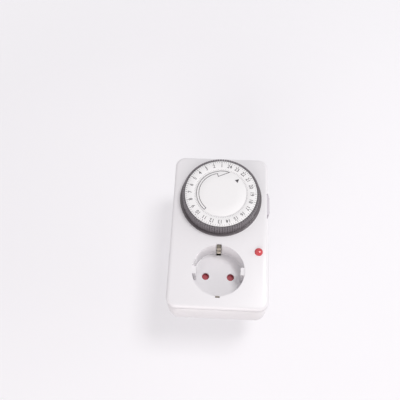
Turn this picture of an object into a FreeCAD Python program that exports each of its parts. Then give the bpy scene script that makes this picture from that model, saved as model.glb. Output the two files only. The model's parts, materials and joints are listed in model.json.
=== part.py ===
import FreeCAD, Part
import math
import os

os.makedirs("parts", exist_ok=True)

# Plug in timer switch, upright as it hangs in a wall socket. The origin is the centre of the plug's face,
# between the two pins. +Y points into the wall, +Z up, and the front faces -Y.
# A depth is measured from the front face towards the wall, so a part that stands proud has a negative depth.

# Housing
body_width = 74.3
body_depth = 36.0
body_top = 94.3
body_bottom = -28.7
corner_radius = 8.0
front_round = 2.6
rear_bevel = 4.0
wall = 2.0
parting_depth = 4.0
boss_radius = 18.25
boss_length = 17.5
boss_bore = 15.5
boss_end_wall = 3.0
boss_groove_width = 6.0
boss_groove_depth = 1.6
boss_slot_front = 2.0
boss_slot_back = 1.5
slip_gap = 0.1
screw_slip = 0.2
screw_seat_depth = 3.0
screw_edge = 8.15
screw_top_edge = 9.8
screw_low_edge = 8.2

# Socket recess
recess_radius = 19.5
recess_depth = 17.5
recess_wall = 1.8
recess_floor = 2.5
recess_floor_round = 1.0
pin_spacing = 19.0
pin_hole_radius = 2.8
rib_width = 5.6
rib_height = 3.0
rib_start = 1.0
clip_slot_width = 3.9
clip_slot_reach = 1.1
clip_foot_slot = 2.3

# Plug pins
pin_radius = 2.4
pin_length = 19.0
pin_tip_round = 2.0
pin_root_growth = 0.2
pin_head_growth = 1.1
pin_head_thickness = 1.5

# Dial
dial_height = 58.0
dial_hole_radius = 30.4
flange_radius = 31.7
flange_thickness = 1.0
flange_gap = 0.2
collar_radius = 30.1
collar_back = 1.8
web_recess = 1.2
web_overlap = 0.2
ring_slip = 0.1
skirt_wall = 1.0
drum_radius = 27.65
drum_wall = 1.65
disc_front = 10.2
number_ring_outer = 27.6
number_ring_inner = 19.8
number_ring_thickness = 1.0
number_skirt = 3.0
center_disc_radius = 19.6
center_disc_thickness = 1.2
hub_radius = 6.0
hub_front = 4.5
hub_back = 6.0
post_radius = 2.5
post_shoulder_radius = 4.5
running_gap = 0.05
loose_gap = 0.3

# Quarter-hour tappets round the dial
hours = 24
quarters = 4
tappet_inner = 27.85
tappet_outer = 29.6
tappet_foot_inner = 27.2
tappet_foot_thickness = 1.4
tappet_front = 10.0
tappet_half_gap = 0.25
tappet_slot_gap = 0.05
tappet_travel = 3.0

# Gear train
gear_module = 0.5
pressure_angle = math.radians(25.0)
tooth_top = 0.8
tooth_foot = 1.0
tooth_backlash = 0.08
dial_teeth = 72
pinion_teeth = 12
wheel_teeth = 60
dial_gear_width = 3.0
idler_direction = 215.0
motor_direction = 10.0
wheel_depth = 8.0
wheel_width = 2.0
pinion_setback = 0.4
idler_hub_radius = 2.2
axle_setback = 0.1
pinion_overhang = 0.2
axle_radius = 1.0

# Mechanism plate and motor
plate_depth = 12.0
plate_thickness = 1.5
plate_side_gap = 2.65
plate_switch_gap = 1.9
plate_top_gap = 1.3
plate_low = 25.5
plate_top_strip_low = 78.0
plate_screw_inset = 3.5
plate_screw_rise = 4.0
plate_right_screw_inset = 4.5
can_radius = 18.0
can_length = 14.0
can_wall = 0.8
coil_inner = 10.0
rotor_radius = 9.5
shaft_radius = 0.75
shaft_clearance = 1.0
ear_reach = 21.0
ear_direction = 100.0
ear_thickness = 1.0
ear_radius = 2.6
lead_radius = 0.5
lead_x = 8.0
lead_z = 40.0
lead_gap = 1.5
rotor_gap = 0.8
winding_gap = 0.2

# Switch
switch_left_reach = 5.325
switch_right_reach = 3.075
base_low = 45.0
base_high = 71.0
base_front = 9.0
base_back = 21.0
base_wall = 1.2
base_thin_wall = 0.8
lid_thickness = 1.2
plunger_radius = 2.0
plunger_travel = 3.2
plunger_back = 16.0
bridge_thickness = 0.8
bridge_half_length = 9.0
contact_offset = 7.0
contact_radius = 1.4
contact_gap = 0.1
strip_thickness = 0.8
strip_width = 3.0
switch_screw_gap = 2.8
switch_ear_length = 5.5
switch_ear_half_width = 3.1
spring_seat_radius = 1.1
spring_seat_height = 2.2
arm_setback = 2.0
arm_thickness = 1.2
arm_half_height = 0.8
arm_reach = 1.4
arm_slot_gap = 0.4
spring_radius = 1.6
spring_wire_radius = 0.22
spring_turns = 4
spring_steps = 10
override_travel = 4.0
knob_low = 46.9
knob_length = 16.8
knob_front = 2.6
knob_depth = 8.0
knob_proud = 1.15
knob_round = 0.6
slide_thickness = 1.1
slide_gap = 0.15
slide_overlap = 1.6
slide_low_overlap = 2.5
slide_top_overlap = 1.5
ramp_gap = 0.15
ramp_margin = 1.5
knob_clearance = 0.4
edge_notch = 1.15

# Screws
screw_radius = 1.5
screw_head_radius = 2.9
screw_head_height = 2.2
tube_radius = 3.2
switch_tube_radius = 2.6
screw_slot_half_width = 0.4
screw_slot_half_length = 2.0
screw_slot_depth = 1.0
screw_tip_gap = 1.5
small_slot_depth = 0.5
small_slot_half_width = 0.3
small_screw_radius = 1.2
small_head_radius = 2.0
small_head_height = 1.5
small_screw_length = 6.0

# Lamp
lamp_edge = 7.55
lamp_z = 15.2
lens_radius = 3.0
lens_proud = 1.9
lens_length = 8.0
neon_radius = 2.0
lens_rim = 0.4
lens_collar = 0.9
lens_collar_thickness = 1.2
lens_gap = 0.2
neon_proud = 2.0
neon_front = 1.1
neon_lead_x = 0.8
neon_lead_radius = 0.35
neutral_lead_gap = 5.0
resistor_radius = 1.1
resistor_length = 6.0
resistor_x = 8.0

# Shutter behind the pin holes
shutter_gap = 1.0
shutter_thickness = 1.5
shutter_half_length = 13.2
shutter_half_width = 4.0
shutter_hub = 4.2
shutter_spring_radius = 2.4
shutter_spring_wire = 0.3
shutter_spring_turn = 300.0
shutter_pin_radius = 1.5

# Earth clips
clip_width = 3.2
clip_thickness = 0.6
earth_gap = 0.5
clip_lip = 1.0
clip_outside_gap = 0.3
clip_mouth_height = 0.4
clip_throat_depth = 6.0
clip_throat_height = 0.9
clip_bow_depth = 9.5
clip_bow_height = 1.8
clip_heel_depth = 12.5
clip_heel_height = 2.0
clip_end_depth = 16.5
clip_end_height = 0.6
earth_bar_gap = 4.0
earth_end_gap = 2.0
earth_inset = 0.5

# Line and neutral conductors
column_front = 24.0
column_back = 27.0
line_column_x = 20.3
switched_column_x = 22.5
sleeve_wall = 0.9
sleeve_gap = 0.05
sleeve_length = 14.0
sleeve_slit = 9.0
sleeve_slit_half_width = 0.3
tail_half_width = 1.5
tail_gap = 0.3
tail_setback = 4.0
switched_tail_height = 2.3
switched_tail_gap = 0.3

# Worked-out places
front_y = -(boss_length + body_depth)
half_width = body_width / 2
inner_half_width = half_width - wall
face_depth = body_depth + boss_length
rear_inner = body_depth - wall
cup_radius = recess_radius + recess_wall
pin_root_radius = pin_radius + pin_root_growth
pin_head_radius = pin_radius + pin_head_growth
pin_head_back = face_depth - boss_end_wall
pin_head_front = pin_head_back - pin_head_thickness
lamp_x = half_width - lamp_edge
knob_reach = half_width + knob_proud
plate_left = -(inner_half_width - plate_side_gap)
tail_z = pin_radius + sleeve_wall + tail_gap
switched_tail_high = -(pin_radius + switched_tail_gap)
switched_tail_low = switched_tail_high - switched_tail_height
floor_back = recess_depth + recess_floor
pin_x = pin_spacing / 2
plate_back = plate_depth + plate_thickness
can_back = plate_back + can_length
plunger_x = (tappet_inner + tappet_outer) / 2
base_left = plunger_x - switch_left_reach
base_right = plunger_x + switch_right_reach
plate_right = base_left - plate_switch_gap
tappet_back = collar_back + loose_gap + tappet_foot_thickness
plunger_tip = tappet_back + tappet_travel + 2 * loose_gap
dial_pitch_radius = gear_module * dial_teeth / 2
pinion_pitch_radius = gear_module * pinion_teeth / 2
wheel_pitch_radius = gear_module * wheel_teeth / 2
idler_distance = dial_pitch_radius + pinion_pitch_radius
motor_distance = wheel_pitch_radius + pinion_pitch_radius
idler_x = idler_distance * math.cos(math.radians(idler_direction))
idler_z = dial_height + idler_distance * math.sin(math.radians(idler_direction))
motor_x = idler_x + motor_distance * math.cos(math.radians(motor_direction))
motor_z = idler_z + motor_distance * math.sin(math.radians(motor_direction))
web_back = collar_back - web_recess
housing_screw_x = half_width - screw_edge
housing_screw_top = body_top - screw_top_edge
housing_screw_low = body_bottom + screw_low_edge
plate_screw_places = [
    (plate_left + plate_screw_inset, plate_low + plate_screw_rise),
    (plate_right - plate_right_screw_inset, plate_low + small_head_radius),
]
ear_angles = [ear_direction, ear_direction - 180.0]
switch_mid = dial_height
base_screw_x = (base_left + base_right) / 2
base_screw_places = [(base_screw_x, base_low - switch_screw_gap), (base_screw_x, base_high + switch_screw_gap)]
shutter_front = floor_back + shutter_gap
shutter_back = shutter_front + shutter_thickness
strap_front = shutter_back + earth_gap
fixed_strip_front = plunger_back + 3 * bridge_thickness + contact_gap
arm_front = plunger_back - arm_setback
slide_x = inner_half_width - slide_gap
screw_seat = body_depth - screw_seat_depth


def point(x, depth, z):
    return FreeCAD.Vector(x, front_y + depth, z)


def rod(radius, start, end, x=0.0, z=0.0):
    """A round bar along the depth."""
    return Part.makeCylinder(radius, end - start, point(x, start, z), FreeCAD.Vector(0, 1, 0))


def tube(outer, inner, start, end, x=0.0, z=0.0):
    return rod(outer, start, end, x, z).cut(rod(inner, start - 1, end + 1, x, z))


def block(x0, x1, start, end, z0, z1):
    return Part.makeBox(x1 - x0, end - start, z1 - z0, point(x0, start, z0))


def merge(shapes):
    """One clean solid from pieces that meet."""
    return shapes[0].multiFuse(shapes[1:]).removeSplitter()


def prism(outline, start, end):
    """An outline of x and z points, extruded along the depth."""
    corners = [point(x, start, z) for x, z in outline]
    face = Part.Face(Part.makePolygon(corners + corners[:1]))
    return face.extrude(FreeCAD.Vector(0, end - start, 0))


def side_prism(outline, x0, x1):
    """An outline of depth and z points, extruded along x."""
    corners = [point(x0, depth, z) for depth, z in outline]
    face = Part.Face(Part.makePolygon(corners + corners[:1]))
    return face.extrude(FreeCAD.Vector(x1 - x0, 0, 0))


def side_strip(route, thickness, x0, x1):
    """A flat metal strip, x0 to x1 wide, that bends through depth and z points."""
    shapes = []
    for (d0, z0), (d1, z1) in zip(route, route[1:]):
        run = math.hypot(d1 - d0, z1 - z0)
        off_d = -(z1 - z0) / run * thickness / 2
        off_z = (d1 - d0) / run * thickness / 2
        outline = [
            (d0 + off_d, z0 + off_z),
            (d1 + off_d, z1 + off_z),
            (d1 - off_d, z1 - off_z),
            (d0 - off_d, z0 - off_z),
        ]
        shapes.append(side_prism(outline, x0, x1))
    for depth, z in route[1:-1]:
        bend = Part.makeCylinder(thickness / 2, x1 - x0, point(x0, depth, z), FreeCAD.Vector(1, 0, 0))
        shapes.append(bend)
    return merge(shapes)


def wire(route, radius):
    """A round wire through points of x, depth and z, with a ball in each bend."""
    shapes = []
    for start, end in zip(route, route[1:]):
        a = point(*start)
        b = point(*end)
        shapes.append(Part.makeCylinder(radius, (b - a).Length, a, b - a))
    for place in route[1:-1]:
        shapes.append(Part.makeSphere(radius, point(*place)))
    return merge(shapes)


def rounded_slab(inset, start, end):
    """The housing's outline, moved inwards by inset, with its corners rounded."""
    slab = block(
        inset - half_width, half_width - inset, start, end, body_bottom + inset, body_top - inset
    )
    edges = [e for e in slab.Edges if abs(e.tangentAt(e.FirstParameter).y) > 0.99]
    return slab.makeFillet(corner_radius - inset, edges)


def bevelled_slab(inset, start, end, bevel):
    """A rounded slab whose edge at the wall end is bevelled."""
    slab = rounded_slab(inset, start, end)
    edges = [e for e in slab.Edges if abs(e.BoundBox.YMin - front_y - end) < 1e-6
             and abs(e.BoundBox.YMax - front_y - end) < 1e-6]
    return slab.makeChamfer(bevel, edges)


def involute(angle):
    return math.tan(angle) - angle


def gear(teeth, start, end, x, z, first_tooth):
    """A spur gear with involute flanks. first_tooth is the direction of one tooth, in degrees."""
    pitch = gear_module * teeth / 2
    base = pitch * math.cos(pressure_angle)
    tip = pitch + tooth_top * gear_module
    root = pitch - tooth_foot * gear_module
    half_tooth = math.pi / (2 * teeth) - tooth_backlash / (2 * pitch) + involute(pressure_angle)
    low = max(base, root)
    flank = []
    for share in (0.0, 0.35, 0.7, 1.0):
        radius = low + (tip - low) * share
        flank.append((radius, half_tooth - involute(math.acos(min(1.0, base / radius)))))
    outline = []
    for tooth in range(teeth):
        middle = math.radians(first_tooth) + 2 * math.pi * tooth / teeth
        stations = [(root, -flank[0][1])] if root < low else []
        stations += [(radius, -turn) for radius, turn in flank]
        stations += [(radius, turn) for radius, turn in reversed(flank)]
        stations += [(root, flank[0][1])] if root < low else []
        for radius, turn in stations:
            outline.append((x + radius * math.cos(middle + turn), z + radius * math.sin(middle + turn)))
    return prism(outline, start, end)


def wedge(inner, outer, half_gap, start, end, direction):
    """One segment of a ring that is divided into as many as there are tappets."""
    half_angle = math.pi / (hours * quarters)
    turn = math.radians(direction)
    outline = []
    for radius, side in ((inner, -1), (outer, -1), (outer, 1), (inner, 1)):
        across = side * (radius * math.tan(half_angle) - half_gap)
        x = radius * math.cos(turn) - across * math.sin(turn)
        z = dial_height + radius * math.sin(turn) + across * math.cos(turn)
        outline.append((x, z))
    return prism(outline, start, end)


def tappet_direction(hour, quarter):
    """Hour 1 stands at the top and the hours run counter-clockwise, seen from the front."""
    step = 360.0 / (hours * quarters)
    return 90.0 + (hour - 1) * step * quarters + (quarter + 0.5) * step


def small_screw(x, seat, z, towards_wall):
    """A pan head screw whose head sits on the plane at depth seat."""
    sign = 1 if towards_wall else -1
    head = rod(small_head_radius, min(seat, seat - sign * small_head_height),
               max(seat, seat - sign * small_head_height), x, z)
    shank = rod(small_screw_radius, min(seat, seat + sign * small_screw_length),
                max(seat, seat + sign * small_screw_length), x, z)
    slot_mid = seat - sign * small_head_height
    slot = block(x - small_head_radius, x + small_head_radius, slot_mid - small_slot_depth,
                 slot_mid + small_slot_depth, z - small_slot_half_width, z + small_slot_half_width)
    return merge([head, shank]).cut(slot)


def save(name, shape):
    shape.exportStep(f"parts/{name}.step")


def housing_screw_places():
    return [(side * housing_screw_x, z) for z in (housing_screw_top, housing_screw_low) for side in (-1, 1)]


def override_opening():
    """The opening in the right side for the override slider's grip."""
    low = knob_low - override_travel - knob_clearance
    high = knob_low + knob_length + knob_clearance
    back = knob_front + knob_depth + knob_clearance
    through = block(inner_half_width, half_width + 5, wall, back, low, high)
    return through.fuse(block(half_width - edge_notch, half_width + 5, -1, back, low, high))


def make_front_cover():
    cover = rounded_slab(0, 0, parting_depth)
    rim = [e for e in cover.Edges if abs(e.BoundBox.YMax - front_y) < 1e-6]
    cover = cover.makeFillet(front_round, rim)
    cover = cover.cut(rounded_slab(wall, wall, parting_depth + 1))
    cup = rod(cup_radius, wall / 2, floor_back)
    bosses = [rod(tube_radius, wall / 2, plate_depth, x, z) for x, z in housing_screw_places()]
    bosses += [rod(tube_radius, wall / 2, plate_depth, x, z) for x, z in plate_screw_places]
    pivot = rod(shutter_pin_radius, floor_back - 0.5, shutter_back + earth_gap)
    cover = merge([cover, cup, pivot] + bosses)
    hollow = rod(recess_radius, -1, recess_depth)
    floor_edge = [e for e in hollow.Edges if abs(e.BoundBox.YMin - front_y - recess_depth) < 1e-6
                  and e.Length > recess_radius]
    hollow = hollow.makeFillet(recess_floor_round, floor_edge)
    ribs = [
        block(min(side * (recess_radius - rib_height), side * (recess_radius + recess_wall / 2)),
              max(side * (recess_radius - rib_height), side * (recess_radius + recess_wall / 2)),
              rib_start, recess_depth + 1, -rib_width / 2, rib_width / 2)
        for side in (-1, 1)
    ]
    cover = cover.cut(hollow.cut(ribs[0]).cut(ribs[1]))
    cover = cover.cut(rod(dial_hole_radius, -1, wall + 1, 0, dial_height))
    for side in (-1, 1):
        cover = cover.cut(rod(pin_hole_radius, recess_depth - 1, floor_back + 1, side * pin_x, 0))
        near = side * (recess_radius - 1)
        far = side * (recess_radius + clip_slot_reach)
        cover = cover.cut(block(-clip_slot_width / 2, clip_slot_width / 2, -1, recess_depth - 1,
                                min(near, far), max(near, far)))
        foot = side * (recess_radius - clip_foot_slot)
        cover = cover.cut(block(-clip_slot_width / 2, clip_slot_width / 2, recess_depth - 2, floor_back + 1,
                                min(foot, far), max(foot, far)))
        far = side * (cup_radius + 1)
        cover = cover.cut(block(-clip_slot_width / 2, clip_slot_width / 2, wall, recess_depth - 1,
                                min(near, far), max(near, far)))
    for x, z in housing_screw_places():
        cover = cover.cut(rod(screw_radius, wall, plate_depth + 1, x, z))
    for x, z in plate_screw_places:
        cover = cover.cut(rod(small_screw_radius, wall, plate_depth + 1, x, z))
    cover = cover.cut(rod(lens_radius + slip_gap, -1, wall + 1, lamp_x, lamp_z))
    cover = cover.cut(override_opening())
    save("front_cover", cover)


def make_rear_housing():
    shell = bevelled_slab(0, parting_depth, body_depth, rear_bevel)
    shell = shell.cut(bevelled_slab(wall, parting_depth - 1, rear_inner, rear_bevel))
    boss = rod(boss_radius, body_depth - 1, face_depth)
    for side in (-1, 1):
        near = side * (boss_radius - boss_groove_depth)
        far = side * (boss_radius + 1)
        groove = block(min(near, far), max(near, far), body_depth, face_depth + 1,
                       -boss_groove_width / 2, boss_groove_width / 2)
        boss = boss.cut(groove)
    tubes = []
    for x, z in housing_screw_places():
        start = plate_back if z > dial_height else plate_depth
        tubes.append(rod(tube_radius, start, body_depth - wall / 2, x, z))
    for x, z in base_screw_places:
        tubes.append(rod(switch_tube_radius, base_back + lid_thickness, body_depth - wall / 2, x, z))
    shell = merge([shell, boss] + tubes)
    shell = shell.cut(rod(boss_bore, rear_inner - 1, face_depth - boss_end_wall))
    for side in (-1, 1):
        shell = shell.cut(rod(pin_root_radius, face_depth - boss_end_wall - 1, face_depth + 1, side * pin_x, 0))
        near = side * (boss_bore - 1)
        far = side * (boss_radius + 1)
        shell = shell.cut(block(-clip_width / 2 - slip_gap, clip_width / 2 + slip_gap,
                                body_depth + boss_slot_front, face_depth - boss_slot_back,
                                min(near, far), max(near, far)))
    for x, z in housing_screw_places():
        shell = shell.cut(rod(screw_radius + screw_slip, plate_depth - 1, body_depth + 1, x, z))
        shell = shell.cut(rod(screw_head_radius + screw_slip, screw_seat, body_depth + 1, x, z))
    for x, z in base_screw_places:
        shell = shell.cut(rod(small_screw_radius, base_back, rear_inner - 1, x, z))
    shell = shell.cut(override_opening())
    save("rear_housing", shell)


def make_housing_screws():
    screws = []
    for x, z in housing_screw_places():
        top = screw_seat + screw_head_height
        head = rod(screw_head_radius, screw_seat, top, x, z)
        shank = rod(screw_radius, wall + screw_tip_gap, screw_seat, x, z)
        screw = merge([head, shank])
        narrow = screw_slot_half_width
        wide = screw_slot_half_length
        for a, b in ((narrow, wide), (wide, narrow)):
            screw = screw.cut(block(x - a, x + a, top - screw_slot_depth, top + 1, z - b, z + b))
        screws.append(screw)
    save("housing_screws", Part.makeCompound(screws))


def make_mechanism_plate():
    inner_top = body_top - wall - plate_top_gap
    plate = block(plate_left, plate_right, plate_depth, plate_back, plate_low, inner_top)
    strip = block(plate_left, -plate_left, plate_depth, plate_back, plate_top_strip_low, inner_top)
    plate = merge([plate, strip])
    plate = plate.cut(rod(post_radius, 0, 20, 0, dial_height))
    plate = plate.cut(rod(axle_radius, 0, 20, idler_x, idler_z))
    plate = plate.cut(rod(shaft_radius + shaft_clearance, 0, body_depth, motor_x, motor_z))
    for side in (-1, 1):
        plate = plate.cut(rod(screw_radius, 0, 20, side * housing_screw_x, housing_screw_top))
    for x, z in plate_screw_places:
        plate = plate.cut(rod(small_screw_radius, 0, 20, x, z))
    for angle in ear_angles:
        x = motor_x + ear_reach * math.cos(math.radians(angle))
        z = motor_z + ear_reach * math.sin(math.radians(angle))
        plate = plate.cut(rod(small_screw_radius, 0, 20, x, z))
    save("mechanism_plate", plate)


def make_mechanism_screws():
    screws = [small_screw(x, plate_back, z, False) for x, z in plate_screw_places]
    for angle in ear_angles:
        x = motor_x + ear_reach * math.cos(math.radians(angle))
        z = motor_z + ear_reach * math.sin(math.radians(angle))
        screws.append(small_screw(x, plate_back + ear_thickness, z, False))
    screws += [small_screw(x, base_back - base_wall, z, True) for x, z in base_screw_places]
    save("mechanism_screws", Part.makeCompound(screws))


def make_center_post():
    shaft = rod(post_radius, -(disc_front - center_disc_thickness), plate_back, 0, dial_height)
    shoulder = rod(post_shoulder_radius, hub_back + loose_gap, plate_depth, 0, dial_height)
    save("center_post", merge([shaft, shoulder]))


def make_center_disc():
    back = -(disc_front - center_disc_thickness)
    disc = rod(center_disc_radius, -disc_front, back, 0, dial_height)
    boss = tube(post_shoulder_radius, post_radius, back, -(hub_front + loose_gap), 0, dial_height)
    save("dial_center_disc", merge([disc, boss]))


def make_dial_carrier():
    front = -(flange_gap + flange_thickness)
    flange = rod(flange_radius, front, -flange_gap, 0, dial_height)
    collar = rod(collar_radius, front, collar_back, 0, dial_height)
    collar = collar.cut(rod(tappet_foot_inner - loose_gap, web_back, collar_back + 1, 0, dial_height))
    drum_front = -(disc_front - number_ring_thickness)
    drum = tube(drum_radius, drum_radius - drum_wall, drum_front, front + 0.5, 0, dial_height)
    hub = rod(hub_radius, -hub_front, hub_back, 0, dial_height)
    teeth = gear(dial_teeth, web_back - web_overlap, web_back + dial_gear_width,
                 0, dial_height, idler_direction)
    carrier = merge([flange, collar, drum, hub, teeth])
    slots = []
    for hour in range(1, hours + 1):
        for quarter in range(quarters):
            slots.append(wedge(tappet_inner - ring_slip, tappet_outer + ring_slip,
                               tappet_half_gap - tappet_slot_gap, front - 1, collar_back + 1,
                               tappet_direction(hour, quarter)))
    carrier = carrier.cut(slots)
    carrier = carrier.cut(rod(post_radius + running_gap, -20, 20, 0, dial_height))
    save("dial_carrier", carrier)


def make_number_ring():
    back = -(disc_front - number_ring_thickness)
    ring = tube(number_ring_outer, number_ring_inner, -disc_front, back, 0, dial_height)
    skirt_outer = drum_radius - drum_wall - ring_slip
    skirt = tube(skirt_outer, skirt_outer - skirt_wall, back - web_overlap, back + number_skirt, 0, dial_height)
    save("number_ring", merge([ring, skirt]))


def make_tappets():
    foot_front = tappet_back - tappet_foot_thickness
    for hour in range(1, hours + 1):
        group = []
        for quarter in range(quarters):
            direction = tappet_direction(hour, quarter)
            bar = wedge(tappet_inner, tappet_outer, tappet_half_gap, -tappet_front, tappet_back, direction)
            foot = wedge(tappet_foot_inner, tappet_outer, tappet_half_gap, foot_front, tappet_back, direction)
            group.append(merge([bar, foot]))
        save(f"tappets_hour_{hour:02d}", Part.makeCompound(group))


def make_gear_train():
    pinion_front = web_back + pinion_setback
    tooth = idler_direction - 180.0 + 180.0 / pinion_teeth
    idler = merge([
        gear(pinion_teeth, pinion_front, pinion_front + dial_gear_width, idler_x, idler_z, tooth),
        rod(idler_hub_radius, pinion_front, plate_depth - loose_gap, idler_x, idler_z),
        gear(wheel_teeth, wheel_depth, wheel_depth + wheel_width, idler_x, idler_z, motor_direction),
    ])
    idler = idler.cut(rod(axle_radius + running_gap, 0, 20, idler_x, idler_z))
    save("idler_gear", idler)
    save("idler_axle", rod(axle_radius, pinion_front + axle_setback, plate_back, idler_x, idler_z))
    tooth = motor_direction + 180.0 + 180.0 / pinion_teeth
    pinion = gear(pinion_teeth, wheel_depth - pinion_overhang, wheel_depth + wheel_width + pinion_overhang,
                  motor_x, motor_z, tooth)
    save("motor_pinion", pinion.cut(rod(shaft_radius, 0, 20, motor_x, motor_z)))


def make_motor():
    can = rod(can_radius, plate_back, can_back, motor_x, motor_z)
    hollow = rod(can_radius - can_wall, plate_back + can_wall, can_back - can_wall, motor_x, motor_z)
    ears = []
    for angle in ear_angles:
        x = motor_x + ear_reach * math.cos(math.radians(angle))
        z = motor_z + ear_reach * math.sin(math.radians(angle))
        ears.append(rod(ear_radius, plate_back, plate_back + ear_thickness, x, z))
        lug = block(x - ear_radius, x + ear_radius, plate_back, plate_back + ear_thickness,
                    min(z, z + (motor_z - z) * 0.2), max(z, z + (motor_z - z) * 0.2))
        ears.append(lug)
    can = merge([can] + ears).cut(hollow)
    can = can.cut(rod(shaft_radius + running_gap, 0, 40, motor_x, motor_z))
    for angle in ear_angles:
        x = motor_x + ear_reach * math.cos(math.radians(angle))
        z = motor_z + ear_reach * math.sin(math.radians(angle))
        can = can.cut(rod(small_screw_radius, 0, 20, x, z))
    save("motor_can", can)
    coil_front = plate_back + can_wall + winding_gap
    coil_back = can_back - can_wall - winding_gap
    coil_outer = can_radius - can_wall - winding_gap
    save("motor_coil", tube(coil_outer, coil_inner, coil_front, coil_back, motor_x, motor_z))
    magnet = rod(rotor_radius, coil_front + rotor_gap, coil_back - rotor_gap, motor_x, motor_z)
    shaft = rod(shaft_radius, wheel_depth - pinion_overhang, can_back - axle_setback, motor_x, motor_z)
    save("motor_rotor", merge([magnet, shaft]))


def make_motor_leads():
    drop = can_back + lead_gap
    low_drop = drop + 2 * lead_radius
    live = wire([(lead_x, can_back, lead_z), (lead_x, drop, lead_z), (line_column_x, drop, lead_z),
                 (line_column_x, column_back, lead_z)], lead_radius)
    neutral = wire([(-lead_x, can_back, lead_z), (-lead_x, low_drop, lead_z),
                    (-lead_x, low_drop, tail_z)], lead_radius)
    save("motor_leads", Part.makeCompound([live, neutral]))


def make_switch_base():
    base = block(base_left, base_right, base_front, base_back, base_low, base_high)
    ear = block(base_screw_x - switch_ear_half_width, base_screw_x + switch_ear_half_width,
                base_back - base_wall, base_back, base_low - switch_ear_length, base_high + switch_ear_length)
    guide = rod(plunger_radius + 1.0, base_front - 0.8, base_front + 0.5, plunger_x, switch_mid)
    base = merge([base, ear, guide])
    base = base.cut(block(base_left + base_wall, base_right - base_thin_wall, base_front + base_wall,
                          base_back + 1, base_low + base_wall, base_high - base_wall))
    base = base.cut(rod(plunger_radius + running_gap, 0, 20, plunger_x, switch_mid))
    slot_front = base_front + base_wall + arm_slot_gap
    slot_half = arm_half_height + arm_slot_gap
    base = base.cut(block(base_right - 2, base_right + 1, slot_front, plunger_back,
                          switch_mid - slot_half, switch_mid + slot_half))
    strip_front = fixed_strip_front
    for z in (switch_mid - contact_offset, switch_mid + contact_offset):
        base = base.cut(block(base_left - 1, base_left + 2, strip_front, strip_front + strip_thickness,
                              z - strip_width / 2, z + strip_width / 2))
    for x, z in base_screw_places:
        base = base.cut(rod(small_screw_radius, 0, 40, x, z))
    save("switch_base", base)
    lid = block(base_left, base_right, base_back, base_back + lid_thickness, base_low, base_high)
    ear = block(base_screw_x - switch_ear_half_width, base_screw_x + switch_ear_half_width,
                base_back, base_back + lid_thickness,
                base_low - switch_ear_length, base_high + switch_ear_length)
    seat = rod(spring_seat_radius, base_back - spring_seat_height, base_back + 0.5, plunger_x, switch_mid)
    lid = merge([lid, ear, seat])
    for x, z in base_screw_places:
        lid = lid.cut(rod(small_screw_radius, 0, 40, x, z))
    save("switch_lid", lid)


def make_plunger():
    pin = rod(plunger_radius, plunger_tip, plunger_back, plunger_x, switch_mid)
    nose = [e for e in pin.Edges if abs(e.BoundBox.YMax - front_y - plunger_tip) < 1e-6 and e.Length > 1]
    pin = pin.makeFillet(plunger_radius * 0.6, nose)
    arm = block(plunger_x, base_right + arm_reach, arm_front, arm_front + arm_thickness,
                switch_mid - arm_half_height, switch_mid + arm_half_height)
    save("switch_plunger", merge([pin, arm]))
    bridge = block(plunger_x - 1.5, plunger_x + 1.5, plunger_back, plunger_back + bridge_thickness,
                   switch_mid - bridge_half_length, switch_mid + bridge_half_length)
    rivets = [
        rod(contact_radius, plunger_back, plunger_back + 2 * bridge_thickness, plunger_x,
            switch_mid + side * contact_offset)
        for side in (-1, 1)
    ]
    save("bridge_contact", merge([bridge] + rivets))


def make_plunger_spring():
    start = plunger_back + bridge_thickness + spring_wire_radius
    height = base_back - spring_wire_radius - start
    steps = spring_turns * spring_steps
    route = []
    for step in range(steps + 1):
        turn = 2 * math.pi * step / spring_steps
        x = plunger_x + spring_radius * math.cos(turn)
        route.append((x, start + height * step / steps, switch_mid + spring_radius * math.sin(turn)))
    save("plunger_spring", wire(route, spring_wire_radius))


def make_override_slider():
    grip = block(slide_x - 0.5, knob_reach, knob_front, knob_front + knob_depth,
                 knob_low, knob_low + knob_length)
    outer = [e for e in grip.Edges if abs(e.BoundBox.XMin - knob_reach) < 1e-6]
    grip = grip.makeFillet(knob_round, outer)
    cover = block(slide_x - slide_thickness, slide_x, wall + loose_gap, knob_front + knob_depth + slide_overlap,
                  knob_low - override_travel - slide_low_overlap,
                  knob_low + knob_length + override_travel + slide_top_overlap)
    slope = plunger_travel / override_travel
    top = arm_front - ramp_gap
    foot_z = switch_mid - arm_half_height
    low_z = foot_z - ramp_margin
    high_z = foot_z + override_travel + ramp_margin
    front = base_front - 0.5
    outline = [
        (front, low_z),
        (top + slope * (foot_z - low_z), low_z),
        (top - slope * (high_z - foot_z), high_z),
        (front, high_z),
    ]
    ramp = side_prism(outline, base_right + 0.2, slide_x - 0.5)
    save("override_slider", merge([grip, cover, ramp]))


def sleeve(side):
    """The sprung sleeve that grips a pin of the plug that is put into the socket."""
    back = column_front + sleeve_length
    shape = tube(pin_radius + sleeve_wall, pin_radius + sleeve_gap, column_front, back, side * pin_x, 0)
    slit = block(side * pin_x - sleeve_slit_half_width, side * pin_x + sleeve_slit_half_width,
                 column_front - 1, column_front + sleeve_slit, -2 * pin_radius, 0)
    return shape.cut(slit)


def pin_tail(side, z0, z1, start):
    """The strip from the sleeve back to the head of the plug's own pin."""
    near = side * pin_x - tail_half_width
    far = side * pin_x + tail_half_width
    strap = block(near, far, start, pin_head_front, z0, z1)
    foot = block(near, far, pin_head_front - strip_thickness, pin_head_front, -tail_half_width, z1)
    return [strap, foot]


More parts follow.
